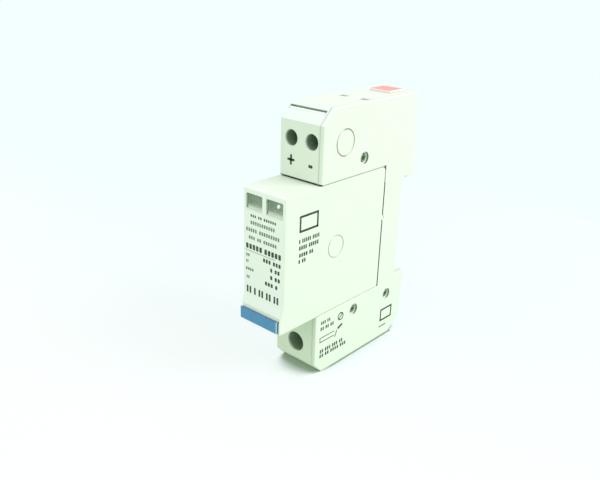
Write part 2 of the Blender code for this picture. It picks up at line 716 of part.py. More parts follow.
def make_screw(shop, name, terminal, x, z, metal):
    # Pan-headed terminal screw with a combined slot and cross recess. Its tip bears on the bar.
    head_front = CHAMBER_FRONT + GAP
    head_rear = head_front + terminal["head_height"]
    tip = BAR_FRONT_FACE - GAP
    head = terminal["head_radius"]
    shank = terminal["screw_radius"]
    crown = SCREW_CHAMFER
    profile = [(0, head_front), (head - 2 * crown, head_front), (head, head_front + crown)]
    profile += [(head, head_rear), (shank, head_rear), (shank, tip - crown)]
    profile += [(shank - crown, tip), (0, tip)]
    screw = shop.piece(turned(name, profile, "Y", x, z), metal)
    half_slot = DRIVE_SLOT_WIDTH / 2
    cross_reach = DRIVE_CROSS_REACH * head
    slot = rectangle(x - head - GAP, x + head + GAP, z - half_slot, z + half_slot)
    cross = rectangle(x - half_slot, x + half_slot, z - cross_reach, z + cross_reach)
    slot_floor = head_front + DRIVE_SLOT_DEPTH * terminal["head_height"]
    cross_floor = head_front + DRIVE_CROSS_DEPTH * terminal["head_height"]
    shop.cut(
        screw,
        prism(f"{name}_slot", slot, "Y", head_front - WALL, slot_floor),
        prism(f"{name}_cross", cross, "Y", head_front - WALL, cross_floor),
    )
    set_origin(screw, Vector((x, head_rear, z)))
    return screw


def bar_outline(cage_end, turn, blade_end):
    # Side path of a contact bar as (y, distance from the rail's centre line): from past the cage
    # in towards the rail's centre, back behind the bay at the distance turn, and on to the blade.
    front = BAR_FRONT_FACE
    rear = BAR_REAR_FACE
    outer = BAR_BEND + BAR_THICKNESS
    front_centre = (front + outer, turn + outer)
    rear_centre = (rear - outer, turn - BAR_BEND)
    return (
        [(front, cage_end)]
        + arc(*front_centre, outer, 180, 270, 3)
        + arc(*rear_centre, BAR_BEND, 90, 0, 3)
        + [(rear - BAR_THICKNESS, blade_end), (rear, blade_end)]
        + arc(*rear_centre, outer, 0, 90, 3)
        + arc(*front_centre, BAR_BEND, 270, 180, 3)
        + [(front + BAR_THICKNESS, cage_end)]
    )


def fork_outline(x):
    # Cross-section of the fork that grips a blade, as (x, y): a web behind and two sprung leaves.
    rear = BAR_REAR_FACE
    mouth = -BAY_FLOOR + WALL + GAP
    grip = mouth + FORK_MOUTH
    inside = BLADE_THICKNESS / 2 + LEAF_GRIP_GAP
    wide = inside + FORK_FLARE
    leaf = LEAF_THICKNESS
    web = rear - BAR_THICKNESS
    return [
        (x - wide - leaf, rear),
        (x + wide + leaf, rear),
        (x + inside + leaf, grip),
        (x + wide + leaf, mouth),
        (x + wide, mouth),
        (x + inside, grip),
        (x + wide, web),
        (x - wide, web),
        (x - inside, grip),
        (x - wide, mouth),
        (x - wide - leaf, mouth),
        (x - inside - leaf, grip),
    ]


def make_contact(shop, name, terminal, x, screw_z, blade_z, metal):
    # A copper bar through the cage that ends in a fork behind the bay. The same path serves
    # both heads, mirrored about the rail's centre line for the lower one.
    away = math.copysign(1, screw_z)
    half_height = terminal["cage_height"] / 2
    half_blade = BLADE_WIDTH / 2
    cage_end = abs(screw_z) + half_height + BAR_PAST_CAGE
    turn = abs(screw_z) - half_height - BAR_TO_CAGE - BAR_THICKNESS
    blade_end = abs(blade_z) - half_blade
    path = [(y, away * distance) for y, distance in bar_outline(cage_end, turn, blade_end)]
    half = terminal["cage_width"] / 2 - terminal["cage_wall"] - terminal["bar_play"]
    bar = shop.piece(prism(name, path, "X", x - half, x + half), metal)
    shop.join(bar, prism(f"{name}_fork", fork_outline(x), "Z", blade_z - half_blade, blade_z + half_blade))
    return bar


# Rail clip
def make_clip(shop, plastic):
    head_top = ABOVE_RAIL + CLIP_PROUD
    head_floor = head_top - CLIP_HEAD_HEIGHT
    jaw_front = RAIL_SHEET + RAIL_SHEET_PLAY
    jaw_tip = RAIL_WIDTH / 2 - CATCH
    shoulder = RAIL_WIDTH / 2 + GAP
    flange = [
        (CLIP_HEAD_FRONT, head_floor),
        (CLIP_INNER_FACE, head_floor),
        (CLIP_INNER_FACE, shoulder),
        (jaw_front, shoulder),
        (jaw_front, jaw_tip),
        (CLIP_REAR_FACE, jaw_tip + CLIP_REAR_FACE - jaw_front),
        (CLIP_REAR_FACE, head_top - GAP),
        (CLIP_HEAD_REAR, head_top),
        (CLIP_HEAD_FRONT, head_top),
    ]
    tongue_rear = FOOT_REACH_TOP - GAP
    tongue = [
        (CLIP_INNER_FACE + WALL, shoulder + CATCH),
        (tongue_rear, shoulder + CATCH),
        (tongue_rear, head_floor),
        (CLIP_INNER_FACE + WALL, head_floor),
    ]
    half = CLIP_WIDTH / 2
    half_tongue = CLIP_TONGUE_WIDTH / 2
    half_window = CLIP_WINDOW_WIDTH / 2
    window = rectangle(
        CLIP_OFFSET - half_window, CLIP_OFFSET + half_window,
        CLIP_WINDOW_BOTTOM, SPRING_STOP_BOTTOM + SPRING_STOP_HEIGHT + GAP,
    )
    clip = shop.piece(prism("rail_clip", flange, "X", CLIP_OFFSET - half, CLIP_OFFSET + half), plastic)
    shop.join(clip, prism("clip_tongue", tongue, "X", CLIP_OFFSET - half_tongue, CLIP_OFFSET + half_tongue))
    shop.cut(clip, prism("clip_window", window, "Y", CLIP_INNER_FACE - WALL, FOOT_REACH_UPPER))
    set_origin(clip, Vector((CLIP_OFFSET, CLIP_REAR_FACE, RECESS_TOP)))
    return clip


def make_spring(name, size, x, y, low, high, metal):
    # A close-ended helical spring along Z, drawn as a curve with a round section.
    wire = size["wire"]
    turns = size["turns"]
    dead = CLOSED_TURN * wire
    free = high - low - 2 * wire - 2 * dead
    curve = bpy.data.curves.new(name, "CURVE")
    curve.dimensions = "3D"
    curve.bevel_depth = wire
    curve.bevel_resolution = 1
    curve.use_fill_caps = True
    line = curve.splines.new("POLY")
    count = turns * TURN_STEPS + 1
    line.points.add(count - 1)
    for index in range(count):
        turn = index / TURN_STEPS
        share = min(max((turn - 1) / (turns - 2), 0), 1)
        z = low + wire + dead * min(turn, 1) + free * share + dead * max(turn - turns + 1, 0)
        angle = 2 * math.pi * turn
        line.points[index].co = (
            x + size["radius"] * math.cos(angle), y + size["radius"] * math.sin(angle), z, 1,
        )
    curve.materials.append(metal)
    spring = bpy.data.objects.new(name, curve)
    bpy.context.scene.collection.objects.link(spring)
    return spring


# Plug
def casing_outline():
    lip_top = PLUG_BOTTOM + LIP_HEIGHT
    front = arc(
        PLUG_FACE + PLUG_FRONT_CORNER, PLUG_TOP - PLUG_FRONT_CORNER, PLUG_FRONT_CORNER, 180, 90, 4,
    )
    rear = arc(PLUG_REAR - PLUG_REAR_CORNER, PLUG_TOP - PLUG_REAR_CORNER, PLUG_REAR_CORNER, 90, 0, 4)
    return [(PLUG_REAR, PLUG_BOTTOM), (LIP_FACE, PLUG_BOTTOM), (LIP_FACE, lip_top)] \
        + [(PLUG_FACE, lip_top + RAMP_HEIGHT)] + front + rear


def window_outline(side):
    inner, outer = sorted((side * WINDOW_INNER, side * WINDOW_OUTER))
    return rounded_rectangle(inner, outer, WINDOW_BOTTOM, WINDOW_TOP, WINDOW_CORNER, 2)


def spring_peg(name, x):
    # A ledge on the front wall that anchors a flag's spring.
    half = FLAG_SPRING["radius"] + 2 * FLAG_SPRING["wire"]
    top = FLAG_SPRING_BOTTOM - GAP
    outline = rectangle(PLUG_CAVITY_FRONT - WALL / 2, FLAG_SPRING_LINE + half, top - WALL, top)
    return prism(name, outline, "X", x - half, x + half)


def strip_recess():
    outline = rectangle(
        LIP_FACE - WALL, LIP_FACE + STRIP_THICKNESS + GAP,
        PLUG_BOTTOM - WALL, PLUG_BOTTOM + LIP_HEIGHT + WALL,
    )
    return prism("strip_recess", outline, "X", -HALF - WALL, HALF - STRIP_END + STRIP_END_GAP)


def make_casing(shop, plastic):
    casing = shop.piece(prism("plug_casing", casing_outline(), "X", -HALF, HALF), plastic)
    front_zone = PLUG_FACE + PLUG_FRONT_CORNER / 2

    def share(a, b):
        if abs(a.x - b.x) > GAP:
            return 0.0
        if max(a.y, b.y) < front_zone:
            return 1.0
        return PLUG_EDGE_SHARE

    round_edges(casing, PLUG_EDGE_ROUNDING, share)
    nub_end = HALF - EDGE_ROUNDING
    nub = rod("casing_nub", "X", PLUG_REAR, NUB_HEIGHT, NUB_RADIUS, -nub_end, nub_end, NUB_STEPS)
    hollow = rectangle(PLUG_CAVITY_FRONT, PLUG_REAR + 2 * WALL, PLUG_CAVITY_BOTTOM, PLUG_CAVITY_TOP)
    shop.join(casing, nub)
    shop.cut(casing, prism("casing_hollow", hollow, "X", -PLUG_INNER, PLUG_INNER))
    for side, name in ((-1, "positive"), (1, "negative")):
        outline = window_outline(side)
        shop.cut(casing, prism(f"window_{name}", outline, "Y", PLUG_FACE - WALL, PLUG_CAVITY_FRONT + GAP))
        shop.join(casing, spring_peg(f"peg_{name}", side * FLAG_MIDDLE))
    shop.cut(casing, strip_recess(), ring_groove("plug_ring", PLUG_RING, PLUG_FACE, PLUG_TOP, HALF))
    return casing


def make_base_plate(shop, plastic):
    outline = rectangle(
        -PLUG_INNER + GAP, PLUG_INNER - GAP, PLUG_CAVITY_BOTTOM + GAP, PLUG_CAVITY_TOP - GAP,
    )
    plate = shop.piece(prism("plug_base_plate", outline, "Y", PLATE_FRONT, PLUG_REAR), plastic)
    half_x = BLADE_THICKNESS / 2 + GAP
    half_z = BLADE_WIDTH / 2 + GAP
    for x, z, name in blade_spots():
        slot = rectangle(x - half_x, x + half_x, z - half_z, z + half_z)
        shop.cut(plate, prism(f"plate_slot_{name}", slot, "Y", PLATE_FRONT - WALL, PLUG_REAR + WALL))
    return plate


def blade_spots():
    return (
        (-POLE_X, POLE_BLADE_HEIGHT, "positive"),
        (POLE_X, POLE_BLADE_HEIGHT, "negative"),
        (0, EARTH_BLADE_HEIGHT, "earth"),
    )


def make_blade(shop, name, x, z, front, metal):
    # A flat contact blade with a tapered tip.
    tip = PLUG_REAR + BLADE_REACH
    half = BLADE_THICKNESS / 2
    half_width = BLADE_WIDTH / 2
    shoulder = tip - BLADE_TAPER
    outline = [
        (x - half, front), (x + half, front), (x + half, shoulder),
        (x + half / 2, tip), (x - half / 2, tip), (x - half, shoulder),
    ]
    return shop.piece(prism(f"blade_{name}", outline, "Z", z - half_width, z + half_width), metal)


def make_arm(shop, name, side, metal):
    # The strip that is soldered to a varistor's outer face and joins it to its blade.
    face = COMMON_PLATE_THICKNESS / 2 + GAP + VARISTOR_THICKNESS + GAP
    near = side * face
    far = side * (face + ARM_THICKNESS)
    start = side * (POLE_X - BLADE_THICKNESS / 2)
    start_far = side * (POLE_X + BLADE_THICKNESS / 2)
    root = POLE_BLADE_FRONT - GAP
    step = VARISTOR_REAR + GAP
    end = VARISTOR_REAR - ARM_GRIP
    outline = [
        (start, root), (start, root - ARM_THICKNESS), (near, step), (near, end),
        (far, end), (far, step + ARM_THICKNESS), (start_far, root),
    ]
    low = POLE_BLADE_HEIGHT - BLADE_WIDTH / 2
    return shop.piece(prism(f"release_arm_{name}", outline, "Z", low, low + ARM_HEIGHT), metal)


def make_varistor(shop, name, side, coating):
    half = VARISTOR_SIZE / 2
    inner = COMMON_PLATE_THICKNESS / 2 + GAP
    low, high = sorted((side * inner, side * (inner + VARISTOR_THICKNESS)))
    outline = rounded_rectangle(
        VARISTOR_Y - half, VARISTOR_Y + half, VARISTOR_Z - half, VARISTOR_Z + half, VARISTOR_CORNER, 5,
    )
    varistor = shop.piece(prism(f"varistor_{name}", outline, "X", low, high), coating)
    round_edges(varistor, VARISTOR_ROUNDING, lambda a, b: float(abs(a.x - b.x) < GAP))
    return varistor


def make_common_plate(shop, metal):
    # The plate between the varistors, with a tab down to the discharge tube.
    reach = VARISTOR_SIZE / 2 - COMMON_PLATE_MARGIN
    front = VARISTOR_Y - reach
    rear = VARISTOR_Y + reach
    low = VARISTOR_Z - reach
    high = VARISTOR_Z + reach
    tab_rear = TUBE_REAR - TUBE_LENGTH - GAP
    tab_front = tab_rear - COMMON_TAB_WIDTH
    tab_end = TUBE_Z - TUBE_RADIUS / 2
    outline = [
        (tab_front, tab_end), (tab_rear, tab_end), (tab_rear, low), (rear, low),
        (rear, high), (front, high), (front, low), (tab_front, low),
    ]
    half = COMMON_PLATE_THICKNESS / 2
    return shop.piece(prism("common_plate", outline, "X", -half, half), metal)


def make_tube(shop, ceramic):
    # The discharge tube lies along Y between the common plate's tab and the earth blade.
    front = TUBE_REAR - TUBE_LENGTH
    front_cap = front + TUBE_CAP
    rear_cap = TUBE_REAR - TUBE_CAP
    waist = TUBE_RADIUS - TUBE_WAIST
    profile = [
        (0, front), (TUBE_RADIUS, front), (TUBE_RADIUS, front_cap), (waist, front_cap),
        (waist, rear_cap), (TUBE_RADIUS, rear_cap), (TUBE_RADIUS, TUBE_REAR), (0, TUBE_REAR),
    ]
    return shop.piece(turned("discharge_tube", profile, "Y", 0, TUBE_Z), ceramic)


def make_lens(shop, clear):
    # One clear moulding behind both windows: a flange with a raised pad in each window.
    half = PLUG_INNER - GAP
    flange = rectangle(-half, half, WINDOW_BOTTOM - 2 * FLAG_OVERLAP, PLUG_CAVITY_TOP - GAP)
    front = PLUG_CAVITY_FRONT + GAP
    pad_front = PLUG_FACE + LENS_RECESS
    lens = shop.piece(prism("window_lens", flange, "Y", front, LENS_REAR), clear)
    for side, name in ((-1, "positive"), (1, "negative")):
        inner, outer = sorted((side * (WINDOW_INNER + GAP), side * (WINDOW_OUTER - GAP)))
        pad = rectangle(inner, outer, WINDOW_BOTTOM + GAP, WINDOW_TOP - GAP)
        shop.join(lens, prism(f"lens_pad_{name}", pad, "Y", pad_front, front + LENS_FLANGE / 2))
    return lens


def make_flag(shop, name, side, plastic):
    # The shutter that a released spring draws down out of its window, on a stem to that spring.
    x = side * FLAG_MIDDLE
    half = FLAG_WIDTH / 2
    half_stem = FLAG_STEM_WIDTH / 2
    outline = [
        (x - half, FLAG_BOTTOM), (x - half_stem, FLAG_BOTTOM), (x - half_stem, STEM_BOTTOM),
        (x + half_stem, STEM_BOTTOM), (x + half_stem, FLAG_BOTTOM), (x + half, FLAG_BOTTOM),
        (x + half, FLAG_TOP), (x - half, FLAG_TOP),
    ]
    flag = shop.piece(prism(f"flag_{name}", outline, "Y", FLAG_FRONT, FLAG_REAR), plastic)
    if side > 0:
        lamp_x, lamp_z = LAMP_SPOT
        room = LAMP_RADIUS + GAP
        notch = rectangle(lamp_x - room, lamp_x + room, lamp_z - room, FLAG_TOP + WALL)
        shop.cut(flag, prism("lamp_notch", notch, "Y", FLAG_FRONT - GAP / 2, FLAG_REAR + GAP / 2))
    foot_rear = FLAG_SPRING_LINE + FLAG_SPRING["radius"]
    foot = rectangle(x - half_stem, x + half_stem, FLAG_REAR - GAP, foot_rear)
    shop.join(flag, prism(f"flag_foot_{name}", foot, "Z", STEM_BOTTOM, STEM_BOTTOM + FLAG_FOOT_HEIGHT))
    set_origin(flag, Vector((x, FLAG_SPRING_LINE, STEM_BOTTOM)))
    return flag


def make_board(shop, laminate):
    half = PLUG_INNER - GAP
    outline = rectangle(-half, half, BOARD_BOTTOM, PLUG_CAVITY_TOP - GAP)
    return shop.piece(
        prism("indicator_board", outline, "Y", BOARD_FRONT, BOARD_FRONT + BOARD_THICKNESS), laminate,
    )


def make_lamp(shop, clear):
    # A domed light guide from the board to the lens.
    x, z = LAMP_SPOT
    tip = LENS_REAR + GAP
    foot = BOARD_FRONT - GAP
    dome = arc(0, tip + LAMP_RADIUS, LAMP_RADIUS, 270, 360, 4)
    profile = [(0, tip)] + dome[1:] + [(LAMP_RADIUS, foot), (0, foot)]
    return shop.piece(turned("status_lamp", profile, "Y", x, z, SMALL_ROUND_STEPS), clear)


def make_strip(shop, plastic):
    outline = rectangle(LIP_FACE, LIP_FACE + STRIP_THICKNESS, PLUG_BOTTOM, PLUG_BOTTOM + LIP_HEIGHT)
    return shop.piece(prism("accent_strip", outline, "X", -HALF, HALF - STRIP_END), plastic)


def main():
    clear_scene()
    shop = Workshop()
    housing = finish("housing_plastic", (0.78, 0.79, 0.77), 0.45)
    insulator = finish("insulator_plastic", (0.62, 0.63, 0.61), 0.5)
    red = finish("clip_plastic", (0.75, 0.07, 0.06), 0.4)
    blue = finish("strip_plastic", (0.05, 0.22, 0.52), 0.35)
    clear = finish("clear_plastic", (0.75, 0.8, 0.78), 0.1, alpha=0.4)
    lamp = finish("lamp_plastic", (0.8, 0.9, 0.8), 0.15)
    shutter = finish("shutter_plastic", (0.3, 0.32, 0.31), 0.5)
    coating = finish("varistor_coating", (0.06, 0.2, 0.45), 0.4)
    ceramic = finish("tube_ceramic", (0.85, 0.83, 0.8), 0.3)
    laminate = finish("board_laminate", (0.05, 0.25, 0.12), 0.4)
    copper = finish("tinned_copper", (0.72, 0.62, 0.5), 0.3, 1.0)
    steel = finish("zinc_steel", (0.62, 0.63, 0.65), 0.35, 1.0)
    wire = finish("spring_steel", (0.5, 0.5, 0.52), 0.3, 1.0)

    make_tray(shop, housing)
    make_cover(shop, housing)
    make_partition(shop, insulator)
    for side, name in ((-1, "positive"), (1, "negative")):
        x = side * POLE_X
        make_cage(shop, f"clamp_cage_{name}", POLE, x, UPPER_SCREW_HEIGHT, steel)
        make_screw(shop, f"terminal_screw_{name}", POLE, x, UPPER_SCREW_HEIGHT, steel)
        make_contact(shop, f"contact_{name}", POLE, x, UPPER_SCREW_HEIGHT, POLE_BLADE_HEIGHT, copper)
    make_cage(shop, "clamp_cage_earth", EARTH, 0, LOWER_SCREW_HEIGHT, steel)
    make_screw(shop, "terminal_screw_earth", EARTH, 0, LOWER_SCREW_HEIGHT, steel)
    make_contact(shop, "contact_earth", EARTH, 0, LOWER_SCREW_HEIGHT, EARTH_BLADE_HEIGHT, copper)

    make_clip(shop, red)
    make_spring(
        "clip_spring", CLIP_SPRING, CLIP_OFFSET, CLIP_SPRING_LINE, CLIP_SPRING_BOTTOM, CLIP_SPRING_TOP, wire,
    )

    plug = [make_casing(shop, housing), make_base_plate(shop, insulator), make_lens(shop, clear)]
    plug += [make_strip(shop, blue), make_board(shop, laminate), make_lamp(shop, lamp)]
    plug += [make_common_plate(shop, copper), make_tube(shop, ceramic)]
    for side, name in ((-1, "positive"), (1, "negative")):
        plug.append(make_varistor(shop, name, side, coating))
        plug.append(make_blade(shop, name, side * POLE_X, POLE_BLADE_HEIGHT, POLE_BLADE_FRONT, copper))
        plug.append(make_arm(shop, name, side, copper))
        plug.append(make_flag(shop, name, side, shutter))
        plug.append(make_spring(
            f"flag_spring_{name}", FLAG_SPRING, side * FLAG_MIDDLE, FLAG_SPRING_LINE,
            FLAG_SPRING_BOTTOM, FLAG_SPRING_TOP, wire,
        ))
    plug.append(make_blade(shop, "earth", 0, EARTH_BLADE_HEIGHT, TUBE_REAR + GAP, copper))
    carry(plug, "plug_carrier", Vector((0, -BAY_FLOOR, (BAY_TOP - BAY_BOTTOM) / 2)))

    for piece in bpy.context.scene.collection.objects:
        if piece.type == "MESH":
            shade(piece)


main()
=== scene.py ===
import math

import bpy
from mathutils import Matrix, Vector


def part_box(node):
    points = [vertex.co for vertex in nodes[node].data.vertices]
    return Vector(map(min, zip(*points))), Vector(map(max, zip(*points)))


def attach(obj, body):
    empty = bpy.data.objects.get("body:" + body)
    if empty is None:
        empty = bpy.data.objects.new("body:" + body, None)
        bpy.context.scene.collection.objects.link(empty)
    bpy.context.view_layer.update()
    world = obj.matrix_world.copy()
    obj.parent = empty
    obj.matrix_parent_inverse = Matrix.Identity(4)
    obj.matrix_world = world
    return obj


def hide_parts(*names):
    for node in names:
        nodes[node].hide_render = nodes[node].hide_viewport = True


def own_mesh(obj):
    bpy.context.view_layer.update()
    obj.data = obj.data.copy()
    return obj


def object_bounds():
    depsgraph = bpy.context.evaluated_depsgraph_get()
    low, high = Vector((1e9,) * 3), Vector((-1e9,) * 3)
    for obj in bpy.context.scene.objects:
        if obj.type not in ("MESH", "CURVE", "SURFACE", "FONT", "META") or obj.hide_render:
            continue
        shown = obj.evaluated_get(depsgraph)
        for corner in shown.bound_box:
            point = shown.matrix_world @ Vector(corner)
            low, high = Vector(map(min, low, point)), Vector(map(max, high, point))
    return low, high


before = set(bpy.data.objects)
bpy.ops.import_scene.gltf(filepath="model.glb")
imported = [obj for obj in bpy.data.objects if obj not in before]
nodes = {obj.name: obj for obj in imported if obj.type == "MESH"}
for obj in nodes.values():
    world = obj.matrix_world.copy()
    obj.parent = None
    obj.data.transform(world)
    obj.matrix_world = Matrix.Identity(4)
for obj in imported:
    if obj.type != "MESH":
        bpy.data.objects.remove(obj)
cadLow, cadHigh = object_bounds()
print("frame loaded:", len(nodes), "nodes")

mm = 0.001


# Shader maths: a Value is the output of a node, and sums on it add the nodes they need.

class Value:
    def __init__(self, finish, socket):
        self.finish = finish
        self.socket = socket

    def __add__(self, other):
        return self.finish.maths("ADD", self, other)

    def __sub__(self, other):
        return self.finish.maths("SUBTRACT", self, other)

    def __rsub__(self, other):
        return self.finish.maths("SUBTRACT", other, self)

    def __mul__(self, other):
        return self.finish.maths("MULTIPLY", self, other)

    __radd__ = __add__
    __rmul__ = __mul__


class Finish:
    rimShare = 0.96                      # of a round mask's radius, where it starts to fade

    def __init__(self, name):
        self.material = bpy.data.materials.new(name)
        self.material.use_nodes = True
        self.tree = self.material.node_tree
        self.tree.nodes.clear()
        self.output = self.tree.nodes.new("ShaderNodeOutputMaterial")
        self.place = None
        self.lengths = {}
        self.facings = {}

    def put(self, socket, value):
        if isinstance(value, Value):
            self.tree.links.new(value.socket, socket)
        elif socket.type == "RGBA" and len(value) == 3:
            socket.default_value = (*value, 1.0)
        else:
            socket.default_value = value

    def node(self, kind, settings, values, result=0):
        made = self.tree.nodes.new(kind)
        for name, value in settings.items():
            setattr(made, name, value)
        for name, value in values.items():
            self.put(made.inputs[name], value)
        return Value(self, made.outputs[result])

    def maths(self, operation, first, second):
        return self.node("ShaderNodeMath", {"operation": operation}, {0: first, 1: second})

    def where(self):                     # the piece's own coordinates, in metres
        if self.place is None:
            self.place = self.node("ShaderNodeTexCoord", {}, {}, "Object")
        return self.place

    def length(self, axis):              # how far along X, Y or Z, in metres
        if not self.lengths:
            apart = self.node("ShaderNodeSeparateXYZ", {}, {0: self.where()}).socket.node
            self.lengths = {name: Value(self, apart.outputs[name]) for name in "XYZ"}
        return self.lengths[axis]

    def facing(self, axis):              # the face's own direction along X, Y or Z
        if not self.facings:
            flat = self.node("ShaderNodeNewGeometry", {}, {}, "True Normal")
            apart = self.node("ShaderNodeSeparateXYZ", {}, {0: flat}).socket.node
            self.facings = {name: Value(self, apart.outputs[name]) for name in "XYZ"}
        return self.facings[axis]

    def along(self, span):               # 0 to 1 between two places along an axis
        axis, start, end = span
        return self.spread(self.length(axis), start, end)

    def turned(self, span):              # 0 to 1 between two turns of the face towards an axis
        axis, start, end = span
        return self.spread(self.facing(axis), start, end)

    def nearLine(self, axes, spot, radius):      # 1 close to a line that crosses both axes at the spot
        across = self.length(axes[0]) - spot[0]
        upward = self.length(axes[1]) - spot[1]
        apart = across * across + upward * upward
        return self.spread(apart, radius ** 2, (self.rimShare * radius) ** 2)

    def within(self, spans):             # 1 inside the spans, each an axis with its low and high limit
        inside = 1.0
        for axis, low, high in spans:
            above = self.maths("GREATER_THAN", self.length(axis), low)
            below = self.maths("LESS_THAN", self.length(axis), high)
            inside = above * below * inside
        return inside

    def either(self, masks):             # the strongest of them
        strongest = masks[0]
        for mask in masks[1:]:
            strongest = self.maths("MAXIMUM", strongest, mask)
        return strongest

    def paintedGapShade(self, reach):            # painted shade: 1 deep in a gap, 0 on open faces and in plain corners
        seen = self.node("ShaderNodeAmbientOcclusion", {"samples": 8}, {"Distance": reach}, "AO")
        return self.spread(seen, 0.5, 0.08)

    def stretched(self, scale):
        return self.node("ShaderNodeMapping", {}, {"Vector": self.where(), "Scale": scale})

    def noise(self, size, detail=3.0, roughness=0.55, place=None):     # size of its features, in metres
        values = {
            "Vector": place or self.where(),
            "Scale": 1.0 / size,
            "Detail": detail,
            "Roughness": roughness,
        }
        return self.node("ShaderNodeTexNoise", {}, values, "Fac")

    def cells(self, size):               # distance from the middle of cells of that size
        values = {"Vector": self.where(), "Scale": 1.0 / size}
        return self.node("ShaderNodeTexVoronoi", {}, values, "Distance")

    def spread(self, value, low, high):  # the value's range from low to high, as 0 to 1
        values = {"Value": value, "From Min": low, "From Max": high}
        return self.node("ShaderNodeMapRange", {"interpolation_type": "SMOOTHSTEP"}, values)

    def blend(self, share, first, second):
        settings = {"data_type": "RGBA", "clamp_factor": True}
        return self.node("ShaderNodeMix", settings, {0: share, 6: first, 7: second}, 2)

    def bump(self, height, depth, normal=None):
        values = {"Height": height, "Distance": depth, "Strength": 1.0}
        if normal is not None:
            values["Normal"] = normal
        return self.node("ShaderNodeBump", {}, values)

    def softEdges(self, radius):
        return self.node("ShaderNodeBevel", {"samples": 6}, {"Radius": radius})

    def edgeMask(self, radius):          # 1 on an edge that is rubbed, 0 on a flat face
        soft = self.softEdges(radius)
        flat = self.node("ShaderNodeNewGeometry", {}, {}, "Normal")
        along = self.node("ShaderNodeVectorMath", {"operation": "DOT_PRODUCT"}, {0: soft, 1: flat}, "Value")
        return self.spread(along, 0.995, 0.80)

    def principled(self, values):
        shader = self.node("ShaderNodeBsdfPrincipled", {}, values)
        self.tree.links.new(shader.socket, self.output.inputs["Surface"])
        return self.material


def tinted(colour, share):
    return tuple(min(1.0, part * share) for part in colour)


# Moulded plastic: spark-eroded grain, a faint cloudiness of the colour, edges a little rubbed, and painted
# light and shade on faces, gaps and holes.

faceTurns = {                            # how a face is turned, from where it doesn't count to where it does
    "front": ("Y", -0.80, -0.97),
    "top": ("Z", 0.5, 0.9),
    "tabSide": ("Z", 0.9, 0.5),
    "recessWall": ("Y", -0.15, -0.45),
}
chamferTurn = (-0.40, -0.48)             # the same for a chamfer, as the product of its turns along Y and Z
litPlaces = {                            # where the painted shade of gaps stays off, from not at all to fully
    "besidePlug": ("X", 7.2 * mm, 8.2 * mm),
    "behindFronts": ("Y", -43.2 * mm, -42.4 * mm),
    "plugNose": ("Y", -50 * mm, -52 * mm),
    "upperTop": ("Z", 39.8 * mm, 40.2 * mm),
    "behindChamfer": ("Y", -37 * mm, -36 * mm),
    "markerSlot": ("Z", 44.0 * mm, 44.4 * mm),
}
litShare = 0.85                          # of a gap's darkness that goes where it is lit
slotShare = 0.55                         # of that share, in the marker slot


def mottledColour(finish, look, rubbed):
    cloud = finish.noise(look["cloudSize"], 4.0)
    speck = finish.noise(look["grainSize"] * 2.5, 2.0)
    shade = finish.spread(cloud, 0.3, 0.7) * 0.7 + finish.spread(speck, 0.35, 0.65) * 0.3
    colour = finish.blend(shade, tinted(look["colour"], 1.0 - look["shadeRange"]), look["colour"])
    return finish.blend(rubbed * look["wear"], colour, look["wornColour"])


def paintFaceLight(finish, look, colour):     # painted light and shade: faces that take another colour by the way they are turned
    if "paintedFrontColour" in look:
        front = finish.blend(finish.along(look["frontFade"]), look["paintedFrontColour"], look["paintedLowFrontColour"])
        colour = finish.blend(finish.turned(faceTurns["front"]), colour, front)
    if "litChamferColour" in look:
        slanted = finish.spread(finish.facing("Y") * finish.facing("Z"), *chamferTurn)
        colour = finish.blend(slanted, colour, look["litChamferColour"])
    if "endHighlightColour" in look:
        colour = finish.blend(finish.along(look["endHighlightFade"]) * look["endHighlightShare"], colour, look["endHighlightColour"])
    if "litTabSideColour" in look:
        proud = finish.maths("GREATER_THAN", finish.length("Z"), look["litTabSideFrom"])
        colour = finish.blend(finish.turned(faceTurns["tabSide"]) * proud, colour, look["litTabSideColour"])
    return colour


def shadeGaps(finish, look, colour):     # painted shade: gaps turn dark, and so do the edges that lie in shade
    beside = finish.along(litPlaces["besidePlug"]) * finish.along(litPlaces["behindFronts"])
    ledges = finish.turned(faceTurns["top"]) * finish.either([beside, finish.along(litPlaces["plugNose"])])
    top = finish.along(litPlaces["upperTop"]) * finish.along(litPlaces["behindChamfer"])
    slot = finish.along(litPlaces["markerSlot"]) * slotShare
    lit = finish.either([ledges, top, slot])
    gaps = finish.paintedGapShade(look["creviceReach"]) * (1.0 - litShare * lit)
    shaded = [finish.within(spans) for spans in look.get("shadedEdges", [])]
    if "recesses" in look:
        mouths = [finish.nearLine("YZ", spot, look["recessRadius"]) for spot in look["recesses"]]
        recess = finish.either(mouths) * finish.along(look["recessDepth"])
        gaps = gaps * (1.0 - look["recessLight"] * recess)
        shaded.append(recess * finish.turned(faceTurns["recessWall"]) * look["recessShade"])
    gaps = finish.either([gaps] + shaded)
    return finish.blend(gaps, colour, tinted(look["colour"], look["creviceShade"]))


# Painted shade deep in the screw passages and pin bores, and a painted shadow at the upper foot.
def paintHoleShade(finish, look, colour):
    inHead = finish.maths("LESS_THAN", finish.length("Y"), look["passageEnd"])
    inside = finish.along(look["passageDepth"])
    holes = [finish.nearLine("XZ", spot, radius) * inside * inHead for spot, radius in look["passages"]]
    holes += [finish.nearLine("YZ", spot, radius) * finish.along(depth)
              for spot, radius, depth in look["sideHoles"]]
    return finish.blend(finish.either(holes), colour, look["holeShadeColour"])


def mouldRing(finish, look, colour):     # a round groove, drawn where its wall lies in shade
    spot, inner, outer = look["ring"]
    across = finish.length("Y") - spot[0]
    upward = finish.length("Z") - spot[1]
    shaded = finish.spread(across * upward, *(share * outer ** 2 for share in look["ringShade"]))
    groove = finish.nearLine("YZ", spot, outer) * (1.0 - finish.nearLine("YZ", spot, inner)) * shaded
    return finish.blend(groove * finish.along(look["ringFace"]), colour, look["ringColour"])


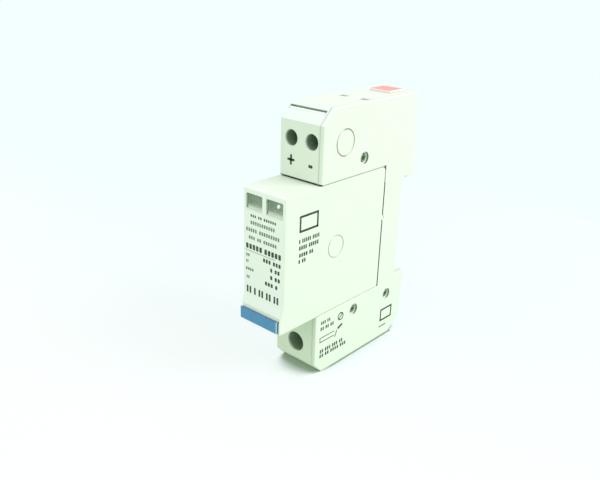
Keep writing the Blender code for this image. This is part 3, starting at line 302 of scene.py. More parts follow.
def mouldedPlastic(name, look):
    finish = Finish(name)
    rubbed = finish.edgeMask(look["edgeRadius"])
    colour = mottledColour(finish, look, rubbed)
    colour = paintFaceLight(finish, look, colour)
    colour = shadeGaps(finish, look, colour)
    if "passages" in look:
        colour = paintHoleShade(finish, look, colour)
    if "ring" in look:
        colour = mouldRing(finish, look, colour)
    smear = finish.spread(finish.noise(look["smearSize"], 5.0, 0.65), 0.45, 0.75)
    roughness = look["roughness"] + smear * look["smear"] - rubbed * look["polish"]
    grain = finish.noise(look["grainSize"], 2.0) + 0.6 * finish.cells(look["grainSize"] * 1.6)
    sink = finish.noise(look["sinkSize"], 2.0)
    normal = finish.bump(sink, look["sinkDepth"], finish.softEdges(look["edgeRadius"]))
    normal = finish.bump(grain, look["grainDepth"], normal)
    return finish.principled({
        "Base Color": colour,
        "Roughness": roughness,
        "Normal": normal,
        "IOR": 1.5,
        "Specular IOR Level": look["gloss"],
    })


plainLook = {
    "colour": (0.785, 0.880, 0.755),
    "wornColour": (0.86, 0.92, 0.86),
    "creviceReach": 1.6 * mm,
    "creviceShade": 0.10,
    "shadeRange": 0.035,
    "cloudSize": 9 * mm,
    "grainSize": 0.22 * mm,
    "grainDepth": 0.012 * mm,
    "sinkSize": 14 * mm,
    "sinkDepth": 0.05 * mm,
    "smearSize": 6 * mm,
    "smear": 0.12,
    "roughness": 0.50,
    "polish": 0.10,
    "edgeRadius": 0.22 * mm,
    "wear": 0.6,
    "gloss": 0.5,
}
shownLook = dict(                        # what housing and plug share besides
    plainLook,
    frontFade=("Z", 6 * mm, -8 * mm),            # painted shade, from the front's colour to its low colour
    ringFace=("X", 8.3 * mm, 8.4 * mm),          # only on the side in view
    ringShade=(-0.32, -0.05),            # across times up, as shares of the radius squared
)
pinSpots = [                             # depth and height
    (-23.3 * mm, 30.0 * mm),
    (-24.0 * mm, -24.15 * mm),
    (-4.4 * mm, -24.95 * mm),
]
rearEdge = {                             # edge of the bay behind the plug
    "across": ("X", 8.42 * mm, 8.80 * mm),
    "deep": ("Y", -10.80 * mm, -10.42 * mm),
    "shallow": ("Y", -10.80 * mm, -10.58 * mm),
}
housingLook = dict(
    shownLook,
    # painted shade on the housing's front faces, darker low down, and painted light on its chamfer
    paintedFrontColour=(0.735, 0.835, 0.700),
    paintedLowFrontColour=(0.660, 0.760, 0.605),
    litChamferColour=(0.845, 0.930, 0.890),
    holeShadeColour=(0.250, 0.350, 0.230),
    passages=[
        ((-4.15 * mm, 37.65 * mm), 2.7 * mm),
        ((4.15 * mm, 37.65 * mm), 2.7 * mm),
        ((0.0, -32.15 * mm), 3.7 * mm),
    ],
    passageDepth=("Y", -43.85 * mm, -42.9 * mm),         # painted shade, dark from its mouth inwards
    passageEnd=-30 * mm,                 # behind this depth no hole is drawn
    sideHoles=[(spot, 1.28 * mm, ("X", 3.0 * mm, 3.5 * mm)) for spot in pinSpots]
    + [((1.9 * mm, 18.9 * mm), 0.34 * mm, ("X", 8.3 * mm, 8.5 * mm))],     # painted shadow in the corner at the upper foot
    recesses=pinSpots,
    recessRadius=2.2 * mm,
    recessDepth=("X", 7.95 * mm, 8.0 * mm),
    recessLight=0.8,                     # taken from the gap's darkness
    recessShade=0.75,                    # of the wall that turns to the front
    ring=((-33.45 * mm, 36.7 * mm), 4.02 * mm, 4.48 * mm),
    ringColour=(0.42, 0.44, 0.34),
    shadedEdges=[                          # painted shade on edges of the bay that lie in shade beside the plug and under the head's front
        (rearEdge["across"], rearEdge["deep"], ("Z", -19.8 * mm, 5.6 * mm)),
        (rearEdge["across"], rearEdge["deep"], ("Z", 7.6 * mm, 19.3 * mm)),
        (rearEdge["across"], rearEdge["shallow"], ("Z", 19.3 * mm, 25.1 * mm)),
        (("Z", 25.0 * mm, 25.42 * mm), ("Y", -44.10 * mm, -43.5 * mm)),
    ],
)
plugLook = dict(
    shownLook,
    # painted light on the plug's front faces and on its chamfer
    paintedFrontColour=(0.835, 0.928, 0.822),
    paintedLowFrontColour=(0.830, 0.918, 0.830),
    litChamferColour=(0.930, 0.990, 0.930),
    shadedEdges=[                          # painted shade at the end of the strip's recess
        (("X", 7.45 * mm, 8.20 * mm), ("Y", -61.25 * mm, -59.9 * mm), ("Z", -19.3 * mm, -14.9 * mm)),
    ],
    ring=((-35.7 * mm, 3.05 * mm), 3.55 * mm, 3.98 * mm),
    ringColour=(0.64, 0.71, 0.59),
    cloudSize=7 * mm,
    roughness=0.46,
)
jointLook = dict(plainLook, colour=(0.67, 0.71, 0.62), wornColour=(0.72, 0.76, 0.68), creviceShade=0.6)
insulatorLook = dict(plainLook, colour=(0.62, 0.66, 0.61), wornColour=(0.72, 0.76, 0.71), roughness=0.55)
clipLook = dict(
    plainLook,
    litTabSideColour=(0.95, 0.84, 0.81),
    litTabSideFrom=47.95 * mm,                 # painted light: height above which the tab's sides take that paler colour
    colour=(0.88, 0.36, 0.31),
    wornColour=(0.94, 0.55, 0.49),
    shadeRange=0.10,
    roughness=0.42,
    wear=0.45,
)
stripLook = dict(
    plainLook,
    colour=(0.065, 0.280, 0.515),
    # painted highlight along the strip's right end
    endHighlightColour=(0.42, 0.72, 0.82),
    endHighlightFade=("X", 6.55 * mm, 7.35 * mm),
    endHighlightShare=0.8,
    wornColour=(0.20, 0.42, 0.72),
    shadeRange=0.14,
    cloudSize=3 * mm,
    roughness=0.38,
    wear=0.35,
)
shutterLook = dict(
    plainLook,
    colour=(0.110, 0.165, 0.112),
    wornColour=(0.25, 0.29, 0.25),
    shadeRange=0.35,
    cloudSize=2.5 * mm,
    roughness=0.55,
    wear=0.3,
)


# Metals: fine drawing or tumbling marks and a thin uneven plating.

def platedMetal(name, look):
    finish = Finish(name)
    drawn = finish.noise(look["markSize"], 3.0, 0.6, finish.stretched(look["markStretch"]))
    patch = finish.spread(finish.noise(look["patchSize"], 4.0), 0.35, 0.65)
    rubbed = finish.edgeMask(look["edgeRadius"])
    colour = finish.blend(patch * look["patchShare"], look["colour"], look["patchColour"])
    colour = finish.blend(rubbed * look["wear"], colour, look["edgeColour"])
    marks = finish.spread(drawn, 0.3, 0.7)
    roughness = look["roughness"] + patch * look["patchRoughness"] + marks * look["markRoughness"]
    normal = finish.bump(drawn, look["markDepth"], finish.softEdges(look["edgeRadius"]))
    return finish.principled({
        "Base Color": colour,
        "Metallic": 1.0,
        "Roughness": roughness,
        "Normal": normal,
    })


zincLook = {
    "colour": (0.62, 0.64, 0.66),
    "patchColour": (0.50, 0.53, 0.55),
    "edgeColour": (0.74, 0.75, 0.76),
    "patchSize": 1.6 * mm,
    "patchShare": 0.7,
    "patchRoughness": 0.16,
    "roughness": 0.26,
    "markSize": 0.12 * mm,
    "markStretch": (1.0, 0.25, 1.0),
    "markDepth": 0.004 * mm,
    "markRoughness": 0.08,
    "edgeRadius": 0.10 * mm,
    "wear": 0.5,
}
tinLook = dict(
    zincLook,
    colour=(0.70, 0.66, 0.60),
    patchColour=(0.66, 0.50, 0.36),
    edgeColour=(0.76, 0.56, 0.40),
    patchShare=0.45,
    markStretch=(1.0, 0.12, 1.0),
    roughness=0.24,
)
springLook = dict(
    zincLook,
    colour=(0.50, 0.51, 0.53),
    patchColour=(0.38, 0.38, 0.40),
    edgeColour=(0.60, 0.60, 0.62),
    markSize=0.05 * mm,
    markStretch=(1.0, 1.0, 1.0),
    roughness=0.22,
)


# Dipped lacquer of the varistors: thick, wavy, with a few pinholes.

varistorLook = {
    "colour": (0.050, 0.175, 0.420),
    "deepColour": (0.030, 0.110, 0.290),
    "waveSize": 3.5 * mm,
    "waveDepth": 0.10 * mm,
    "pinholeSize": 1.3 * mm,
    "pinholeDepth": 0.03 * mm,
    "pinholeRoughness": 0.3,
    "roughness": 0.30,
    "coat": 0.4,
    "coatRoughness": 0.12,
}


def dippedLacquer(name, look):
    finish = Finish(name)
    wave = finish.noise(look["waveSize"], 3.0)
    colour = finish.blend(finish.spread(wave, 0.35, 0.65), look["deepColour"], look["colour"])
    pinhole = 1.0 - finish.spread(finish.cells(look["pinholeSize"]), 0.05, 0.16)
    height = wave - pinhole * (look["pinholeDepth"] / look["waveDepth"])
    return finish.principled({
        "Base Color": colour,
        "Roughness": look["roughness"] + pinhole * look["pinholeRoughness"],
        "Normal": finish.bump(height, look["waveDepth"]),
        "Coat Weight": look["coat"],
        "Coat Roughness": look["coatRoughness"],
    })


# Discharge tube: glazed ceramic between two plated caps, told apart by the distance along the tube.

tubeLook = {
    "ceramic": (0.84, 0.82, 0.77),
    "ceramicShade": (0.72, 0.69, 0.63),
    "cap": (0.62, 0.63, 0.64),
    "capLength": 1.1 * mm,
    "grainSize": 0.5 * mm,
    "grainDepth": 0.01 * mm,
    "roughness": 0.34,
    "grainRoughness": 0.12,
    "capSmoother": 0.08,
}


def tubeFinish(name, look):
    low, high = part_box("discharge_tube")
    finish = Finish(name)
    along = finish.length("Y") - (low.y + high.y) / 2
    fromMiddle = finish.node("ShaderNodeMath", {"operation": "ABSOLUTE"}, {0: along})
    capStart = (high.y - low.y) / 2 - look["capLength"]
    isCap = finish.maths("GREATER_THAN", fromMiddle, capStart)
    grain = finish.noise(look["grainSize"], 3.0)
    ceramic = finish.blend(grain, look["ceramicShade"], look["ceramic"])
    return finish.principled({
        "Base Color": finish.blend(isCap, ceramic, look["cap"]),
        "Metallic": isCap,
        "Roughness": look["roughness"] + grain * look["grainRoughness"] - isCap * look["capSmoother"],
        "Normal": finish.bump(grain, look["grainDepth"]),
    })


# Board: solder mask over a woven laminate, with bare pads.

boardLook = {
    "mask": (0.030, 0.190, 0.085),
    "maskShade": (0.018, 0.120, 0.055),
    "pad": (0.68, 0.66, 0.60),
    "weaveSize": 0.5 * mm,
    "weaveDepth": 0.008 * mm,
    "padSpacing": 2.6 * mm,
    "padRim": (0.17, 0.19),    # distance from a pad's middle, as a share of the spacing
    "roughness": 0.32,
    "weaveRoughness": 0.08,
    "padSmoother": 0.06,
}
bandSpacing = 0.314            # between two bands of a band texture of scale 1, in metres


def boardFinish(name, look):
    finish = Finish(name)
    threads = []
    for direction in "XZ":
        settings = {"wave_type": "BANDS", "bands_direction": direction}
        values = {"Vector": finish.where(), "Scale": bandSpacing / look["weaveSize"]}
        threads.append(finish.node("ShaderNodeTexWave", settings, values, "Fac"))
    weave = threads[0] * threads[1]
    pads = 1.0 - finish.spread(finish.cells(look["padSpacing"]), *look["padRim"])
    mask = finish.blend(weave, look["maskShade"], look["mask"])
    return finish.principled({
        "Base Color": finish.blend(pads, mask, look["pad"]),
        "Metallic": pads,
        "Roughness": look["roughness"] + weave * look["weaveRoughness"] - pads * look["padSmoother"],
        "Normal": finish.bump(weave, look["weaveDepth"]),
    })


# Clear lens: thin and slightly dusty, so that the shutters show through it.

lensLook = {
    "colour": (0.51, 0.66, 0.50),
    "alpha": 0.34,
    "dust": 0.03,
    "dustSize": 0.9 * mm,
    "litFootColour": (0.76, 0.86, 0.73),
    "litFootFrom": 19.7 * mm,     # painted light: height at which the lower edge starts to turn lighter and opaque
    "litFootTo": 17.7 * mm,
    "litFoot": 0.66,
    "waveSize": 5 * mm,
    "waveDepth": 0.03 * mm,
    "roughness": 0.12,
    "dustRoughness": 0.25,
}


def lensFinish(name, look):
    finish = Finish(name)
    dust = finish.spread(finish.noise(look["dustSize"], 5.0, 0.7), 0.45, 0.80)
    # painted light: the pane turns lighter and opaque towards its lower edge
    litFoot = finish.spread(finish.length("Z"), look["litFootFrom"], look["litFootTo"])
    wave = finish.noise(look["waveSize"], 2.0)
    colour = finish.blend(dust, look["colour"], tinted(look["colour"], 1.2))
    return finish.principled({
        "Base Color": finish.blend(litFoot, colour, look["litFootColour"]),
        "Roughness": look["roughness"] + dust * look["dustRoughness"],
        "Alpha": look["alpha"] + dust * look["dust"] + litFoot * look["litFoot"],
        "Normal": finish.bump(wave, look["waveDepth"]),
    })


# Status lamp: a milky light guide; its glow, patchy with its cloudiness, is a painted highlight.

lampLook = {
    "colour": (0.86, 0.95, 0.86),
    "glow": (0.90, 1.0, 0.88),
    "highlightStrength": 0.44,
    "cloudSize": 0.5 * mm,
    "cloudDepth": 0.01 * mm,
    "cloudRoughness": 0.15,
    "roughness": 0.22,
}


def lampHighlightFinish(name, look):
    finish = Finish(name)
    cloud = finish.noise(look["cloudSize"], 3.0)
    return finish.principled({
        "Base Color": finish.blend(cloud, tinted(look["colour"], 0.85), look["colour"]),
        "Roughness": look["roughness"] + cloud * look["cloudRoughness"],
        # painted highlight: the glow stands in for light caught on the tip
        "Emission Color": finish.blend(cloud, tinted(look["glow"], 0.8), look["glow"]),
        "Emission Strength": look["highlightStrength"],
        "Normal": finish.bump(cloud, look["cloudDepth"]),
    })


# Pad-printed ink: thin dark green grey, patchy where the pad lifted.

inkLook = {
    "colour": (0.022, 0.034, 0.024),
    "thinColour": (0.100, 0.130, 0.105),
    "patchSize": 0.7 * mm,
    "grainSize": 0.15 * mm,
    "grainDepth": 0.004 * mm,
    "grainRoughness": 0.2,
    "roughness": 0.42,
}
paleInkLook = dict(inkLook, colour=(0.16, 0.21, 0.175), thinColour=(0.34, 0.41, 0.35))


def inkFinish(name, look):
    finish = Finish(name)
    patch = finish.spread(finish.noise(look["patchSize"], 4.0, 0.65), 0.45, 0.72)
    grain = finish.noise(look["grainSize"], 2.0)
    return finish.principled({
        "Base Color": finish.blend(patch, look["colour"], look["thinColour"]),
        "Roughness": look["roughness"] + grain * look["grainRoughness"],
        "Normal": finish.bump(grain, look["grainDepth"]),
    })


finishes = {
    "housing": mouldedPlastic("housingPlastic", housingLook),
    "plug": mouldedPlastic("plugPlastic", plugLook),
    "insulator": mouldedPlastic("insulatorPlastic", insulatorLook),
    "joint": mouldedPlastic("jointPlastic", jointLook),
    "clip": mouldedPlastic("clipPlastic", clipLook),
    "strip": mouldedPlastic("stripPlastic", stripLook),
    "shutter": mouldedPlastic("shutterPlastic", shutterLook),
    "zinc": platedMetal("zincPlatedSteel", zincLook),
    "tin": platedMetal("tinnedCopper", tinLook),
    "spring": platedMetal("springSteel", springLook),
    "varistor": dippedLacquer("varistorLacquer", varistorLook),
    "tube": tubeFinish("tubeCeramic", tubeLook),
    "board": boardFinish("boardLaminate", boardLook),
    "lens": lensFinish("clearLens", lensLook),
    "lamp": lampHighlightFinish("lampGuide", lampLook),
    "ink": inkFinish("printInk", inkLook),
    "paleInk": inkFinish("palePrintInk", paleInkLook),
}

nodeFinishes = {
    "housing": ["base_tray", "base_cover"],
    "plug": ["plug_casing"],
    "insulator": ["terminal_partition", "plug_base_plate"],
    "clip": ["rail_clip"],
    "strip": ["accent_strip"],
    "shutter": ["flag_positive", "flag_negative"],
    "zinc": [name for name in nodes if name.startswith(("clamp_cage", "terminal_screw"))],
    "tin": [name for name in nodes if name.startswith(("contact_", "blade_", "release_arm", "common_plate"))],
    "spring": ["clip_spring", "flag_spring_positive", "flag_spring_negative"],
    "varistor": ["varistor_positive", "varistor_negative"],
    "tube": ["discharge_tube"],
    "board": ["indicator_board"],
    "lens": ["window_lens"],
    "lamp": ["status_lamp"],
}

for finishName, members in nodeFinishes.items():
    for member in members:
        piece = nodes[member]
        if not piece.data.materials:
            piece.data.materials.append(None)
        for index in range(len(piece.data.materials)):
            piece.data.materials[index] = finishes[finishName]
dressed = {member for members in nodeFinishes.values() for member in members}
print("finishes set on", len(dressed), "nodes, left bare:", sorted(set(nodes) - dressed))


def selectOnly(*objects):
    bpy.ops.object.select_all(action="DESELECT")
    for item in objects:
        item.select_set(True)
    bpy.context.view_layer.objects.active = objects[0]


def joined(objects):
    selectOnly(*objects)
    if len(objects) > 1:
        bpy.ops.object.join()
    return bpy.context.view_layer.objects.active


def applyPlace(piece):
    selectOnly(piece)
    bpy.ops.object.transform_apply(location=True, rotation=True, scale=True)


def keepPiece(piece, name, finishName, body):
    piece.name = name
    piece.data.name = name
    piece.data.materials.clear()
    piece.data.materials.append(finishes[finishName])
    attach(piece, body)


# Print: thin slabs of ink with rounded corners, laid on the face that carries them.

ink = {
    "thickness": 0.04 * mm,
    "corner": 0.3,             # share of a bar's shorter side
    "cornerSteps": 3,
}
barsMade = {}


def bar(width, height):        # its back lies in the XY plane, its front towards +Z
    key = (round(width, 6), round(height, 6))
    if key not in barsMade:
        bpy.ops.object.select_all(action="DESELECT")
        bpy.ops.mesh.primitive_plane_add(size=1.0)
        made = bpy.context.object
        bpy.ops.object.mode_set(mode="EDIT")
        bpy.ops.transform.resize(value=(width, height, 1.0))
        radius = min(width, height) * ink["corner"]
        bpy.ops.mesh.bevel(offset=radius, segments=ink["cornerSteps"], affect="VERTICES")
        bpy.ops.mesh.select_all(action="SELECT")
        bpy.ops.mesh.extrude_region_move(TRANSFORM_OT_translate={"value": (0.0, 0.0, ink["thickness"])})
        bpy.ops.mesh.select_all(action="SELECT")
        bpy.ops.mesh.normals_make_consistent(inside=False)
        bpy.ops.object.mode_set(mode="OBJECT")
        barsMade[key] = made
    copied = barsMade[key].copy()
    copied.data = copied.data.copy()
    bpy.context.scene.collection.objects.link(copied)
    return copied


printTurns = {
    "front": Matrix(((1, 0, 0), (0, 0, -1), (0, 1, 0))).to_4x4(),    # +Z of a bar turned to -Y, its X kept
    "side": Matrix(((0, 0, 1), (1, 0, 0), (0, 1, 0))).to_4x4(),      # +Z turned to +X, its X to +Y
}


def printPiece(name, facing, depth, marks, finishName, body):
    # marks: (across, up, width, height, turn in degrees), in mm on the face; depth: the face's own coordinate
    placed = []
    for across, up, width, height, turn in marks:
        slab = bar(width * mm, height * mm)
        spot = Matrix.Translation((across * mm, up * mm, 0.0)) @ Matrix.Rotation(math.radians(turn), 4, "Z")
        out = (0.0, -depth, 0.0) if facing == "front" else (depth, 0.0, 0.0)
        slab.matrix_world = Matrix.Translation(out) @ printTurns[facing] @ spot
        placed.append(slab)
    piece = joined(placed)
    applyPlace(piece)
    keepPiece(piece, name, finishName, body)


def words(left, right, up, height, lengths, gap, between):
    # a line of print as short upright bars, in groups of the given lengths, spread from left to right
    strokes = sum(lengths)
    spaces = len(lengths) - 1
    pitch = (right - left - spaces * between) / strokes
    made = []
    at = left
    for length in lengths:
        for _ in range(length):
            made.append((at + pitch / 2, up, pitch - gap, height, 0.0))
            at += pitch
        at += between
    return made


def block(low, high, corner):            # a box between two corners in mm, its edges rounded
    size = [(last - first) * mm for first, last in zip(low, high)]
    centre = [(last + first) * mm / 2 for first, last in zip(low, high)]
    bpy.ops.object.select_all(action="DESELECT")
    bpy.ops.mesh.primitive_cube_add(size=1.0)
    bpy.ops.object.mode_set(mode="EDIT")
    bpy.ops.transform.resize(value=size)
    bpy.ops.mesh.bevel(offset=corner * mm, segments=2, affect="EDGES")
    bpy.ops.transform.translate(value=centre)
    bpy.ops.object.mode_set(mode="OBJECT")
    return bpy.context.object


def mirroredBlocks(sizes):               # the same block on both sides of the middle, in mm
    blocks = []
    for side in (1, -1):
        ends = sorted((side * sizes["inner"], side * sizes["outer"]))
        low = (ends[0], sizes["front"], sizes["low"])
        high = (ends[1], sizes["rear"], sizes["high"])
        blocks.append(block(low, high, sizes["corner"]))
    return joined(blocks)


mergeDistance = 0.001 * mm


def mergedCopy(nodeName):                # a CAD node's mesh with its loose triangles joined, nothing selected
    copied = nodes[nodeName].copy()
    copied.data = nodes[nodeName].data.copy()
    bpy.context.scene.collection.objects.link(copied)
    selectOnly(copied)
    bpy.ops.object.mode_set(mode="EDIT")
    bpy.ops.mesh.select_all(action="SELECT")
    bpy.ops.mesh.remove_doubles(threshold=mergeDistance)
    bpy.ops.mesh.select_all(action="DESELECT")
    bpy.ops.mesh.select_mode(type="FACE")
    bpy.ops.object.mode_set(mode="OBJECT")
    return copied


# Springs: merged copies of the spring nodes, each kept on its own body in place of the node.

shortenedSprings = {
    "clipSpring": {
        "node": "clip_spring",
        "joint": "clip_slide",
        "travel": 3.5 * mm,
        "fixed": 38.30 * mm,             # height of the end that stays
        "body": "base",
    },
}
for sign in ("positive", "negative"):
    shortenedSprings["flagSpring" + sign.capitalize()] = {
        "node": "flag_spring_" + sign,
        "joint": "flag_slide_" + sign,
        "travel": 5.0 * mm,
        "fixed": -7.25 * mm,
        "body": "plug",
    }
for name, spring in shortenedSprings.items():
    low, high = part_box(spring["node"])
    piece = mergedCopy(spring["node"])
    keepPiece(piece, name, "spring", spring["body"])
    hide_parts(spring["node"])
    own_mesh(piece)
print("springs made:", len(shortenedSprings))


# Joint of the cover: a thin plate behind it, with its outline, that closes the seam all round.

coverJoint = {"play": 0.03 * mm, "thickness": 0.24 * mm}
sameLevel = 0.01 * mm

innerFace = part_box("base_cover")[0].x
plate = mergedCopy("base_cover")
for face in plate.data.polygons:
    isInner = face.normal.x < -0.99 and abs(face.center.x - innerFace) < sameLevel
    face.select = not isInner
bpy.ops.object.mode_set(mode="EDIT")
bpy.ops.mesh.delete(type="FACE")
bpy.ops.mesh.select_all(action="SELECT")
bpy.ops.mesh.extrude_region_move(TRANSFORM_OT_translate={"value": (-coverJoint["thickness"], 0.0, 0.0)})
bpy.ops.mesh.select_all(action="SELECT")
bpy.ops.transform.translate(value=(-coverJoint["play"], 0.0, 0.0))
bpy.ops.mesh.normals_make_consistent(inside=False)
bpy.ops.object.mode_set(mode="OBJECT")
keepPiece(plate, "coverJoint", "joint", "base")

# Guide ribs under the upper head, one on each side, and the blank strip in the marker slot.

bayRib = {
    "outer": 8.62,
    "inner": 7.7,
    "front": -43.4,
    "rear": -11.3,
    "low": 24.98,
    "high": 25.2,
    "corner": 0.05,
}
keepPiece(mirroredBlocks(bayRib), "bayRibs", "housing", "base")

markerStrip = {
    "left": -8.05,
    "right": 6.42,
    "slotMiddle": (-40.73, 46.37),       # depth and height of the slot's middle line on the chamfer
    "lower": -0.76,                      # along the chamfer from that line
    "upper": 0.14,
    "bottom": -2.0,
    "proud": -0.06,
    "corner": 0.05,
}
low = (markerStrip["left"], markerStrip["bottom"], markerStrip["lower"])
high = (markerStrip["right"], markerStrip["proud"], markerStrip["upper"])
strip = block(low, high, markerStrip["corner"])
slotDepth, slotHeight = markerStrip["slotMiddle"]
slope = math.sqrt(0.5)
ontoChamfer = Matrix(((1, 0, 0), (0, -slope, slope), (0, slope, slope))).to_4x4()     # mirrors the block too
strip.matrix_world = Matrix.Translation((0.0, slotDepth * mm, slotHeight * mm)) @ ontoChamfer
applyPlace(strip)
bpy.ops.object.mode_set(mode="EDIT")
bpy.ops.mesh.select_all(action="SELECT")
bpy.ops.mesh.normals_make_consistent(inside=False)
bpy.ops.object.mode_set(mode="OBJECT")
keepPiece(strip, "markerStrip", "housing", "base")

# Round caps on the sides: one closes the recess of the upper rear pin, two the notches round the plug's nub.

def roundRim(piece, axis, level, radius, steps):     # bevels only the rim that lies at this level
    mesh = piece.data
    bpy.ops.object.mode_set(mode="EDIT")
    bpy.ops.mesh.select_mode(type="EDGE")
    bpy.ops.mesh.select_all(action="DESELECT")
    bpy.ops.object.mode_set(mode="OBJECT")
    for edge in mesh.edges:
        edge.select = all(abs(mesh.vertices[end].co[axis] - level) < mergeDistance for end in edge.vertices)
    bpy.ops.object.mode_set(mode="EDIT")
    bpy.ops.mesh.bevel(offset=radius, segments=steps, affect="EDGES")
    bpy.ops.object.mode_set(mode="OBJECT")


def disc(radius, start, end, rotation, sides):       # a round bar between two points in mm
    bpy.ops.object.select_all(action="DESELECT")
    bpy.ops.mesh.primitive_cylinder_add(
        vertices=sides,
        radius=radius * mm,
        depth=math.dist(start, end) * mm,
        location=[(first + last) / 2 * mm for first, last in zip(start, end)],
        rotation=rotation,
    )
    return bpy.context.object


capRim = {"radius": 0.02, "steps": 2, "sides": 64}       # in mm, as all sizes of the small pieces
nubEnd = {"spot": (-10.9, 6.6), "radius": 0.74, "finish": "plug", "body": "plug"}
sideCaps = {
    "pinCap": {
        "spot": (-4.4, 29.7),            # depth and height
        "radius": 2.11,
        "finish": "housing",
        "body": "base",
        "inner": 8.0,
        "outer": 8.745,
    },
    "nubCap": dict(nubEnd, inner=8.3, outer=8.745),
    "farNubCap": dict(nubEnd, inner=-8.3, outer=-8.745),
}
for name, cap in sideCaps.items():
    start = (cap["inner"], *cap["spot"])
    end = (cap["outer"], *cap["spot"])
    made = disc(cap["radius"], start, end, (0.0, math.pi / 2, 0.0), capRim["sides"])
    applyPlace(made)
    roundRim(made, 0, cap["outer"] * mm, capRim["radius"] * mm, capRim["steps"])
    keepPiece(made, name, cap["finish"], cap["body"])

# Ledge under each pane, between the lens and the sill of its window.

paneLedge = {
    "outer": 7.66,
    "inner": 0.84,
    "front": -59.6,
    "rear": -58.2,
    "low": 17.66,
    "high": 17.95,
    "corner": 0.03,
}
keepPiece(mirroredBlocks(paneLedge), "paneLedges", "plug", "plug")

# Tip of the light guide, set in the lens just inside the window.

guideTip = {
    "spot": (5.30, 21.3),                # across and height
    "radius": 0.37,
    "tall": 1.6,
    "rear": -58.7,
    "front": -59.3,
    "corner": 0.2,
    "steps": 4,
    "sides": 32,
}
across, height = guideTip["spot"]
start = (across, guideTip["rear"], height)
end = (across, guideTip["front"], height)
tip = disc(guideTip["radius"], start, end, (math.pi / 2, 0.0, 0.0), guideTip["sides"])
bpy.ops.transform.resize(value=(1.0, 1.0, guideTip["tall"]))
applyPlace(tip)
roundRim(tip, 1, guideTip["front"] * mm, guideTip["corner"] * mm, guideTip["steps"])
bpy.ops.object.shade_smooth_by_angle(angle=math.radians(40))
keepPiece(tip, "guideTip", "lamp", "plug")
print("joint, ribs, marker strip, caps, ledges and guide tip made")


# Lines of print: left, right, height, bar height, bars in each group, gap and space between groups, in mm.
# Single bars: across, height, width, bar height and turn.

plugFront = {
    "depth": -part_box("accent_strip")[0].y - 1.5 * mm,     # the lip stands out by that much
    "small": [(-5.9, 5.1, 15.9, 0.85, (3, 2, 6), 0.36, 0.6)],
    "plain": [
        (-5.9, 4.6, 13.7, 1.15, (11,), 0.32, 0.0),
        (-7.8, 6.6, 11.2, 1.20, (5, 9), 0.32, 0.8),
        (-6.6, 5.4, 8.7, 1.10, (3, 2, 6), 0.30, 0.8),
    ],
    "bold": [(-7.9, 7.4, 5.7, 1.75, (5, 5), 0.45, 0.7)],
    "labels": [
        (-7.8, -6.1, 2.6, 1.0, (2,), 0.25, 0.0),
        (-7.8, -6.6, 0.5, 1.0, (2,), 0.25, 0.0),
        (-7.9, -4.3, -2.1, 1.0, (4,), 0.25, 0.0),
        (-7.6, -6.1, -4.9, 1.0, (2,), 0.25, 0.0),
    ],
    "values": [
        (-0.4, 7.3, 2.8, 1.3, (3, 3), 0.38, 0.7),
        (2.7, 6.9, 0.4, 1.3, (1, 2), 0.38, 0.7),
        (2.7, 7.1, -2.1, 1.3, (1, 2), 0.38, 0.7),
        (0.5, 6.1, -4.7, 1.3, (3, 1), 0.38, 0.7),
    ],
    "large": [(-7.7, 6.7, -9.1, 2.4, (2, 1, 2, 2, 2), 0.55, 0.75)],
    "rule": (-1.6, 4.2, 12.8, 0.16, 0.0),
}

darkMarks = []
paleMarks = [plugFront["rule"]]
for line in plugFront["small"] + plugFront["bold"] + plugFront["values"] + plugFront["large"]:
    darkMarks += words(*line)
for line in plugFront["plain"] + plugFront["labels"]:
    paleMarks += words(*line)
printPiece("plugFrontPrint", "front", plugFront["depth"], darkMarks, "ink", "plug")
printPiece("plugFrontFinePrint", "front", plugFront["depth"], paleMarks, "paleInk", "plug")

plugSide = {
    "depth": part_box("plug_casing")[1].x,
    "rows": [
        (-53.7, -44.1, 9.6, 1.35, (1, 5, 4), 0.34, 0.6),
        (-53.6, -44.4, 7.4, 1.35, (4, 5), 0.34, 0.6),
        (-53.5, -46.8, 5.0, 1.30, (4, 2), 0.34, 0.6),
        (-53.7, -50.2, 3.0, 1.30, (1, 2), 0.34, 0.6),
    ],
    "panel": (-49.2, 15.1, 8.6, 5.4, 0.72),    # across, up, width, height and line of the empty frame
}


def emptyFrame(across, up, width, height, line):
    return [
        (across, up + (height - line) / 2, width, line, 0.0),
        (across, up - (height - line) / 2, width, line, 0.0),
        (across - (width - line) / 2, up, line, height, 0.0),
        (across + (width - line) / 2, up, line, height, 0.0),
    ]


def emptyRing(across, up, radius, line, sides=12):
    side = 2 * radius * math.tan(math.pi / sides) + line * 0.5
    turns = [2 * math.pi * step / sides for step in range(sides)]
    return [(across + radius * math.cos(turn), up + radius * math.sin(turn), line, side, math.degrees(turn))
            for turn in turns]


sideMarks = emptyFrame(*plugSide["panel"])
for line in plugSide["rows"]:
    sideMarks += words(*line)
printPiece("plugSidePrint", "side", plugSide["depth"], sideMarks, "ink", "plug")

